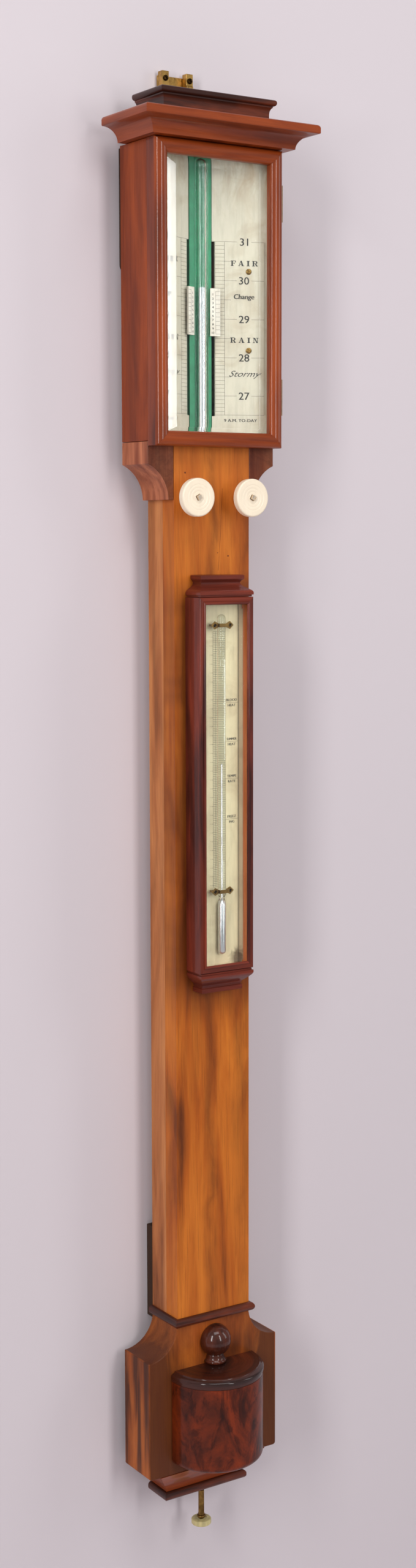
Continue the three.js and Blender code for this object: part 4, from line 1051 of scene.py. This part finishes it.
def register_sheets(side):
    """Lines, numbers and words of one register plate. Words and numbers read from left to right on both."""
    s = sizes()
    line, word = s.hairline, s.word
    inner, column_edge, outer, middle = np.array([12.2, 18.2, 43.0, 30.6]) * MM - s.pane_drift
    foot, top = height_of(26.5), height_of(31)
    half_tick, number_gap, border = 4.1 * MM, 4.6 * MM, 0.7 * MM
    bars = [level_line(inner, column_edge, z, line) for z in height_of(np.arange(26.5, 31.05, 0.1))]
    bars += [upright_line(x, foot, top, line) for x in (inner, column_edge, outer, outer + border)]
    for z in height_of(np.arange(27.5, 31)):
        bars.append(level_line(column_edge, column_edge + half_tick, z, line))
    for z in height_of(np.arange(27, 32)):
        bars.append(level_line(column_edge, middle - number_gap, z, line))
        bars.append(level_line(middle + number_gap, outer, z, line))
    bars.append(level_line(inner, outer, foot, line))
    sheets = [ruled(side, bars)]
    at = side * middle
    for number in range(27, 32):
        sheets += pressed(str(number), s.numeral, at, height_of(number), press=line)
    sheets += slab_word("FAIR", word, at + 0.2 * MM, height_of(30.45), 17.2 * MM)
    sheets += pressed("Change", word * 1.2, at, height_of(29.57), 0.95, 2 * line, 0.1)
    sheets += slab_word("RAIN", word, at + 0.2 * MM, height_of(28.46), 18 * MM)
    sheets.append(words("Stormy", word * 1.5, at + 0.6 * MM, height_of(27.56), 1.15, 0.0, 0.5))
    sheets += pressed("9 A.M. TO-DAY", 2.0 * MM, at - 2.2 * MM, height_of(26.36), 1.1, line)
    return sheets


class BAROMETER_OT_register(Operator):
    """Build the register plates' finish, their engraving and screws, and the green strip behind the tube"""

    bl_idname = "barometer.register"
    bl_label = "Register"

    def execute(self, context):
        lift = 0.6 * sizes().ink_lift
        for side, name in ((1, "right"), (-1, "left")):
            finish_node(f"register_plate_{name}", "plate")
            marks(f"register_engraving_{name}", register_sheets(side), on_plate(side, lift))
        x = 32.5 * MM
        y = PLATE_Y - (x - PLATE_X) * math.tan(CANT)
        head = moved(screw_head(1.9 * MM, 0.9 * MM, 0.3 * MM), 0, -0.35 * MM, 0)
        for end in ("upper", "lower"):
            z = box(f"plate_screw_{end}")[:, 2].mean()
            grid = moved(head, x, y, z, -CANT)
            piece(f"plate_screw_head_{end}", [grid], "old_brass", f"plate_screw_{end}", crease=50)
        (_, front, foot), (right, back, top) = box("tube_backing")
        centre = box("glass_tube")[:, 1].mean()
        radius, wing = 4.8 * MM, 11.6 * MM
        reach = math.degrees(math.asin((front - centre) / radius))
        groove = arc(0.0, centre, radius, 180 - reach, reach, 28)
        step = back - 1.2 * MM
        corners = [[right, front], [right, step], [wing, step], [wing, back]]
        plan = closed(np.vstack([groove, corners, [[-x, y] for x, y in reversed(corners)]]))
        grid = np.stack([np.column_stack([plan, np.full(len(plan), z)]) for z in (foot, top)])
        piece("green_strip", [grid], "green", "tube_backing", ends="rows")
        return {"FINISHED"}


class BAROMETER_OT_tube(Operator):
    """Build the glass tube with its mercury, and finish the cistern, the bag and its pad"""

    bl_idname = "barometer.tube"
    bl_label = "Tube and cistern"

    def execute(self, context):
        start, end = box("glass_tube")
        y = (start[1] + end[1]) / 2
        outer, inner, foot, top = end[0], 2.5 * MM, start[2], end[2]
        crown = arc(0.0, top - outer, outer, 0, 90, 12)
        vault = arc(0.0, top - outer, inner, 90, 0, 12)
        parts = [[[inner, foot], [outer, foot]], crown, vault, [[inner, foot]]]
        turned("barometer_tube", parts, y, 64, "tube", "glass_tube")

        start, end = box("mercury")
        pool, pool_top, thread = end[0], box("cistern")[1][2] - 4.6 * MM, 2.44 * MM
        mouth, rise, gap = outer + 0.3 * MM, 0.9 * MM, 0.3 * MM
        angle = np.radians(np.linspace(0, 90, 9))
        meniscus = np.stack([thread * np.cos(angle), end[2] - rise + rise * np.sin(angle)], 1)
        pool_side = [[0, start[2]], [pool, start[2]], [pool, pool_top], [mouth, pool_top]]
        parts = [pool_side, [[mouth, foot - gap], [thread, foot - gap]], meniscus]
        turned("mercury_column", parts, y, 48, "mercury", "mercury")

        dressed("cistern", "cistern_body", "boxwood", sizes().arris)
        start, end = box("leather_bag")
        middle, radius = (start + end) / 2, end[0]
        shares = [[0, 0], [0.55, 0], [0.85, 0.06], [1, 0.3], [0.97, 0.55], [0.9, 0.75], [0.97, 0.93]]
        reach, rise = np.clip(eased([*shares, [0.9, 1]], 8).T, 0, 1)
        outline = np.stack([reach * radius, start[2] + (end[2] - start[2]) * rise], 1)
        skin = lathe(np.vstack([outline, [[0.0, end[2]]]]), 0, 0, sides=72)
        angle = np.linspace(0, 2 * math.pi, 73)[:, None]
        fold = 1 - 0.045 * (0.5 + 0.5 * np.cos(12 * angle))
        skin = np.stack([skin[..., 0] * fold + middle[0], skin[..., 1] * fold + middle[1], skin[..., 2]], -1)
        bag = piece("cistern_bag", [skin], "leather", "leather_bag")
        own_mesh(bag)
        dressed("pad_plate", "bag_pad_plate", "old_brass", sizes().brass_arris, "bag_pad")
        return {"FINISHED"}


class BAROMETER_OT_verniers(Operator):
    """Finish the verniers and their racks, and engrave the divisions"""

    bl_idname = "barometer.verniers"
    bl_label = "Verniers"

    def execute(self, context):
        line, thick, width, margin, end_gap = sizes().hairline, 3.4 * MM, 6.8 * MM, 2.0 * MM, 0.2 * MM
        division, number_height, number_rise = 1.1 * INCH / 10, 1.5 * MM, 0.8 * MM
        lift = thick + 0.6 * sizes().ink_lift
        for side, name in ((1, "right"), (-1, "left")):
            body, vernier = f"vernier_slide_{name}", f"vernier_{name}"
            finish_node(vernier, "bone")
            dressed(f"vernier_rack_{name}", f"rack_{name}", "old_brass", body=body)
            corners = box(vernier)
            inner = np.abs(corners[:, 0]).min() + lift * math.sin(CANT)
            edge = inner + width * math.cos(CANT)
            column_edge = inner + width / 2
            steps = corners[1][2] - margin - np.arange(11) * division
            bars = [level_line(column_edge, edge - end_gap, z, line) for z in steps]
            sheets = [ruled(side, bars + [upright_line(column_edge, steps[-1], steps[0], line)])]
            at = side * (inner + width / 4)
            for number in range(1, 11):
                stretch = 0.9 if number == 10 else 1.1
                z = steps[number] + number_rise
                sheets.append(words(str(number), number_height, at, z, stretch, 0.015))
            marks(f"vernier_divisions_{name}", sheets, on_plate(side, lift), body)
        return {"FINISHED"}


class BAROMETER_OT_knobs(Operator):
    """Turn the two setting knobs with their rings, and finish their arbors"""

    bl_idname = "barometer.knobs"
    bl_label = "Setting knobs"

    def execute(self, context):
        s = sizes()
        sides = 96
        angle = np.radians(np.linspace(0, 360, sides + 1))
        thick, boss, half_square, bore, recess = 5 * MM, 4.6 * MM, 1.75 * MM, 2.9 * MM, 0.45 * MM
        land, lip, rear_lip, sink, dip, ringed = 0.9 * MM, 1.1 * MM, 0.5 * MM, 0.05 * MM, 0.4 * MM, 0.74
        for name, square_turn in (("right", -30), ("left", 30)):
            start, end = box(f"setting_knob_{name}")
            x, _, z = (start + end) / 2
            radius, front, back = (end[0] - start[0]) / 2, start[1], end[1]
            rear = front + thick
            turn = angle - math.radians(square_turn)
            square = half_square / np.maximum(np.abs(np.cos(turn)), np.abs(np.sin(turn)))
            reach = np.linspace(bore, radius - land, 90)
            share = np.clip((reach - reach[0]) / (reach[-1] - reach[0]) / ringed, 0, 1)
            rings = s.ring_depth * (0.5 - 0.5 * np.cos(2 * math.pi * share * s.rings)) ** 3
            face = np.stack([reach, front + sink + rings + dip * (1 - share) ** 1.5], 1)
            edge = arc(radius - lip, front + lip, lip, -90, 0, 8)
            rim = [[radius, rear - rear_lip], [radius - rear_lip, rear], [boss, rear], [boss, back]]
            ring = lathe(np.vstack([face, edge, rim]), x, 0, z, sides, upright=False)
            across, up = x + square * np.cos(angle), z + square * np.sin(angle)
            hole = [np.stack([across, np.full(sides + 1, y), up], -1) for y in (back, front + recess)]
            wall = np.stack(hole, 1)
            grid = np.concatenate([wall, ring, wall[:, :1]], 1)
            body = f"knob_{name}"
            piece(f"knob_disc_{name}", [grid], "knob", f"setting_knob_{name}", body, crease=40)
            dressed(f"knob_arbor_{name}", f"arbor_{name}", "end_brass", body=body, crease=25)
        return {"FINISHED"}


# Thermometer


DEGREE = 1.207 * MM
# Profiles of the end mouldings, each point a share of the height and of the depth
HEAD_SHARES = [[0, 0.17], [0.07, 0.17], [0.08, 0.03], [0.2, 0.03], [0.28, 0.15], [0.36, 0.42], [0.44, 0.71],
               [0.54, 0.93], [0.65, 1], [0.75, 0.85], [0.8, 0.71], [0.97, 0.71], [1, 0.85]]
FOOT_SHARES = [[0, 0.17], [0.07, 0.17], [0.08, 0.03], [0.2, 0.03], [0.3, 0.17], [0.42, 0.42], [0.52, 0.66],
               [0.6, 0.86], [0.7, 0.97], [0.76, 0.97], [0.78, 0.86], [0.96, 0.86], [1, 0.97]]


def thermometer_height(degrees):
    """Height of a mark of the thermometer's scale."""
    return -493.4 * MM + (degrees - 32.0) * DEGREE


def thermometer_sheets(foot, top):
    """Lines and words of the thermometer's scale, whose border runs from the foot to the top."""
    line = 0.17 * MM
    left, inner, right, border = np.array([-4.8, -2.6, 5.1, 15.4]) * MM
    first, last = -6, 138
    bars = []
    for degree in range(first, last + 1):
        outer = left - (1.5 * MM if degree % 5 == 0 else 0.0)
        bars.append(level_line(outer, right, thermometer_height(degree), line))
    for x in (left, inner, right):
        bars.append(upright_line(x, thermometer_height(first), thermometer_height(last), line))
    for x in (border, border + 0.7 * MM):
        bars.append(upright_line(x, foot + 1 * MM, top - 1 * MM, 1.6 * line))
    sheets = []
    names = (("BLOOD", "HEAT", 98), ("SUMMER", "HEAT", 76), ("TEMPE", "RATE", 55), ("FREEZ", "ING", 32))
    for upper, lower, degree in names:
        z = thermometer_height(degree)
        bars.append(level_line(right, border, z, line))
        for text, step in ((upper, 1.8 * MM), (lower, -1.8 * MM)):
            wide = 0.86 if len(text) > 5 else 1.05
            sheets += pressed(text, sizes().small_word, (right + border) / 2, z + step, wide, line)
    return [*sheets, strokes(bars)]


class BAROMETER_OT_thermometer(Operator):
    """Build the thermometer's case, glass, scale, tube and clips"""

    bl_idname = "barometer.thermometer"
    bl_label = "Thermometer"

    def execute(self, context):
        s = sizes()
        (_, face, box_foot), (half, rear, box_top) = box("thermometer_box")
        plate, plate_end = box("thermometer_scale")
        rail, lip, rebate = 5 * MM, face + 1.5 * MM, 2.6 * MM
        corner = arc(0.8 * MM, face + 1.3 * MM, 0.8 * MM, 180, 270, 6)
        bead = arc(rail - 1.0 * MM, face + 1.0 * MM, 1.0 * MM, 180, 360, 14)
        ledge = plate_end[1] + 0.3 * MM
        inside = [[rail, lip], [rebate, lip], [rebate, ledge], [rail, ledge], [rail, rear]]
        grids = members(np.vstack([[[0, rear]], corner, bead, inside]), half, box_foot, box_top, s.mitre_gap)
        piece("thermometer_case", grids, "case", "thermometer_box", ends="rows", weld=1e-7)
        outside, skin = rebate + 0.01 * MM, rebate + 0.2 * MM
        shallow, deep = box("thermometer_glass")[1][1], plate[1]
        grids = members(rectangle(outside, skin, deep, shallow)[[0, 3, 2, 1]], half, box_foot, box_top, 0.0)
        piece("thermometer_lining", grids, "lining", ends="rows", weld=1e-7)

        deepest, slope = 5.9 * MM, 1.35
        for name, shares in (("head", HEAD_SHARES), ("foot", FOOT_SHARES)):
            node = f"thermometer_{name}_mould"
            foot, top = box(node)[:, 2]
            if name == "foot":
                foot, top = top, foot
            rise, reach = np.vstack([shares[:3], eased(shares[3:11], 6), shares[11:]]).T
            parts = [levels(half, face, deepest * reach, foot + (top - foot) * rise, slope)]
            moulding(f"thermometer_{name}_moulding", parts, rear, "case", node)

        pane = bevelled_pane("thermometer_glass", shallow, 0.8, (6.2, 7.4, 4.6, 6.9))
        piece("thermometer_pane", [pane], "glass", "thermometer_glass", crease=1)
        finish_node("thermometer_scale", "scale")
        onto = flat_on(plate[1] - 0.6 * s.ink_lift)
        marks("thermometer_engraving", thermometer_sheets(plate[2], plate_end[2]), onto)

        start, end = box("thermometer_tube")
        y, stem, foot, top = (start[1] + end[1]) / 2, end[0], start[2], end[2]
        bulb_top, waist = foot + 38 * MM, 1.9 * MM
        dome = arc(0.0, foot + stem, stem, -90, 0, 12)
        neck = eased([
            [stem, bulb_top - 3 * MM], [stem * 0.9, bulb_top - 1.2 * MM], [waist, bulb_top + 0.4 * MM],
            [waist, bulb_top + 1.8 * MM], [stem, bulb_top + 3.5 * MM],
        ])
        crown = arc(0.0, top - stem, stem, 0, 90, 8)
        turned("thermometer_stem", [dome, neck, crown], y, 40, "tube", "thermometer_tube")
        wet, thread, warmth = stem - 0.3 * MM, 0.4 * MM, thermometer_height(s.warmth)
        inside = arc(0.0, foot + stem, wet, -90, 0, 10)
        throat = [[wet, bulb_top - 4 * MM], [wet * 0.8, bulb_top - 2 * MM], [thread, bulb_top]]
        parts = [inside, throat, [[thread, warmth], [0.0, warmth + thread]]]
        turned("thermometer_mercury", parts, y, 32, "mercury")
        drop, screw_x = 2.4 * MM, 6.05 * MM
        for end in ("upper", "lower"):
            name = f"thermometer_clip_{end}"
            dressed(name, name + "_brass", "old_brass", 0.12 * MM)
            clip = box(name)
            head = moved(screw_head(1.2 * MM, 0.4 * MM, 0.2 * MM, 48, 16), 0, clip[0][1] + drop, 0)
            heads = [moved(head, x, 0, clip[:, 2].mean()) for x in (-screw_x, screw_x)]
            piece(f"clip_screws_{end}", heads, "dark_metal", crease=50)
        return {"FINISHED"}


# Base


# Radius of the half-round cover, and how far in front of its axis it is cut flat
COVER_RADIUS = 35.0 * MM
COVER_CUT = 0.3 * MM


def half_turned(name, profile, finish, node):
    """A closed profile turned half round in front of the base, and cut flat there."""
    cut = math.degrees(math.asin(COVER_CUT / COVER_RADIUS))
    centre = box("cistern_cover")[1][1] + COVER_CUT
    grid = lathe(closed(profile), 0, centre, sides=96, start=180 + cut, turn=180 - 2 * cut)
    piece(name, [grid], finish, node, ends="rows")


class BAROMETER_OT_base(Operator):
    """Build the base with its mouldings, the half-round cistern cover and the ball above it"""

    bl_idname = "barometer.base"
    bl_label = "Base"

    def execute(self, context):
        dressed("base_body", "base_block", "base", sizes().arris)

        (_, front, foot), (half, back, top) = box("astragal")
        wrap = 0.3 * MM
        trunk, trunk_front = box("trunk_front")[1][0] + wrap, box("trunk_front")[0][1] - wrap
        round_half = (top - foot) / 2
        out, height = arc(0.0, (foot + top) / 2, round_half, -90, 90, 16).T
        rows = []
        for way, at in ((-1, back), (-1, None), (1, None), (1, back)):
            depth = front + round_half
            middle = half - round_half
            x = way * np.concatenate([middle + out, [trunk, trunk, middle + out[0]]])
            y = np.concatenate([depth - out, [trunk_front, trunk_front, depth - out[0]]])
            z = np.concatenate([height, [top, foot, foot]])
            rows.append(np.stack([x, y if at is None else np.full(len(x), at), z], -1))
        piece("astragal_bead", [np.stack(rows)], "moulding", "astragal", ends="rows")

        foot, top = box("cistern_cover")[:, 2]
        wall, edge = 4 * MM, 5 * MM
        bend = arc(COVER_RADIUS - edge, foot + edge, edge, -90, 0, 10)
        inside = COVER_RADIUS - wall
        hollow = [[COVER_RADIUS, top], [inside, top], [inside, foot + wall], [0, foot + wall]]
        half_turned("cover_shell", np.vstack([[[0, foot]], bend, hollow]), "burr", "cistern_cover")

        foot, top = box("cover_rim")[:, 2]
        shares = [[0, 1], [0.12, 0.9], [0.25, 0.3], [0.4, 0], [0.6, 0], [0.75, 0.05], [0.9, 0.12], [1, 0.15]]
        drop, inset = eased(shares, 5).T
        overhang, hollow = 0.5 * MM, 3 * MM
        reach = COVER_RADIUS + overhang - hollow * np.clip(inset, 0, 1)
        edge = np.stack([reach, top - (top - foot) * drop], 1)
        half_turned("cover_lid", np.vstack([[[0, top]], edge, [[0, foot]]]), "lid", "cover_rim")

        start, end = box("ball_finial")
        centre_y, radius, waist, neck_radius = -42.3 * MM, 11.4 * MM, 6.0 * MM, 7.4 * MM
        ball = arc(0.0, end[2] - radius, radius, -math.degrees(math.acos(waist / radius)), 90, 30)
        shares = [[0, 1], [0.12, 1.08], [0.3, 1.1], [0.42, 1], [0.55, 0.92], [0.8, 0.86], [0.92, 0.84]]
        rise, reach = eased(shares, 4).T
        neck = np.stack([neck_radius * reach, start[2] + (ball[0][1] - start[2]) * rise], 1)
        profile = closed(np.vstack([[[0, start[2]]], neck, ball, [[0, end[2]]]]))
        grid = lathe(profile, 0, centre_y, sides=96)
        grid[..., 1] = np.minimum(grid[..., 1], end[1])
        piece("ball_and_neck", [grid], "ball", "ball_finial")

        (_, _, foot), (half, back, top) = box("neck_cove")
        drop, inset = eased([[0, 0], [0.244, 0.284], [0.483, 0.526], [0.806, 0.862], [1, 1]]).T
        neck_inset = 11.6 * MM
        parts = [levels(half, box("base_body")[0][1], neck_inset * inset, top - (top - foot) * drop)]
        moulding("neck_moulding", parts, back, "frame", "neck_cove")
        (_, front, foot), (half, back, top) = box("base_mould")
        parts = [nose(half, front, foot, top, 2.6 * MM, 2.6 * MM)]
        moulding("foot_moulding", parts, back, "moulding", "base_mould")
        return {"FINISHED"}


class BAROMETER_OT_portable_screw(Operator):
    """Turn the portable screw with its collar, its bush and its disc"""

    bl_idname = "barometer.portable_screw"
    bl_label = "Portable screw"

    def execute(self, context):
        dressed("screw_bush", "screw_bush_brass", "old_brass", sizes().brass_arris)
        start, end = box("portable_screw")
        y = (start[1] + end[1]) / 2
        foot = start[2] + 2.6 * MM
        stem, neck, collar, tail, bead = 2.1 * MM, 1.6 * MM, 3.3 * MM, 1.5 * MM, 1.0 * MM
        neck_top = box("base_mould")[0][2] - 0.3 * MM
        parts = [
            [[0, start[2]], [tail, start[2]], [tail, foot], [collar - bead, foot]],
            arc(collar - bead, foot + 1.4 * MM, bead, -90, 90, 10),
            [[collar - 0.9 * MM, foot + 3.2 * MM], [stem, foot + 4 * MM], [stem, neck_top - 2.3 * MM]],
            [[neck, neck_top - 2 * MM], [neck, neck_top - 0.3 * MM], [stem, neck_top]],
            [[stem, end[2]], [0, end[2]]],
        ]
        turned("portable_stem", parts, y, 48, "old_brass", "portable_screw", "portable_screw_set")
        (_, _, low), (radius, _, high) = box("portable_disc")
        edge, seat, seat_depth, pin, pin_foot = 0.9 * MM, 3.9 * MM, 0.25 * MM, 1.8 * MM, foot - 2.9 * MM
        parts = [
            [[0, low]],
            arc(radius - edge, low + edge, edge, -90, 0, 6),
            arc(radius - edge, high - edge, edge, 0, 90, 6),
            [[seat + 0.3 * MM, high], [seat, high - seat_depth], [pin, high - seat_depth]],
            [[pin, pin_foot], [0, pin_foot]],
        ]
        turned("portable_screw_disc", parts, y, 72, "aged", "portable_disc", "portable_screw_set")
        return {"FINISHED"}


STEPS = (
    BAROMETER_OT_stage,
    BAROMETER_OT_case,
    BAROMETER_OT_pediment,
    BAROMETER_OT_hanger,
    BAROMETER_OT_door,
    BAROMETER_OT_register,
    BAROMETER_OT_tube,
    BAROMETER_OT_verniers,
    BAROMETER_OT_knobs,
    BAROMETER_OT_thermometer,
    BAROMETER_OT_base,
    BAROMETER_OT_portable_screw,
)


class BAROMETER_PT_panel(Panel):
    """Sizes, colours and building steps of the barometer"""

    bl_idname = "BAROMETER_PT_panel"
    bl_label = "Stick barometer"
    bl_space_type = "VIEW_3D"
    bl_region_type = "UI"
    bl_category = "Barometer"

    def draw(self, context):
        layout = self.layout
        for group in (sizes(), colours()):
            for name in group.bl_rna.properties.keys():
                if name not in {"rna_type", "name"}:
                    layout.prop(group, name)
        for step in STEPS:
            layout.operator(step.bl_idname)


CLASSES = (BarometerSizes, BarometerColours, *STEPS, BAROMETER_PT_panel)


def register():
    """Makes the properties, the operators and the panel known."""
    for made in CLASSES:
        bpy.utils.register_class(made)
    bpy.types.Scene.barometer_sizes = PointerProperty(type=BarometerSizes)
    bpy.types.Scene.barometer_colours = PointerProperty(type=BarometerColours)


def unregister():
    """Takes them away again."""
    del bpy.types.Scene.barometer_colours
    del bpy.types.Scene.barometer_sizes
    for made in reversed(CLASSES):
        bpy.utils.unregister_class(made)


def main():
    """Builds every piece in order."""
    register()
    for step in STEPS:
        group, name = step.bl_idname.split(".")
        getattr(getattr(bpy.ops, group), name)()


if __name__ == "__main__":
    main()
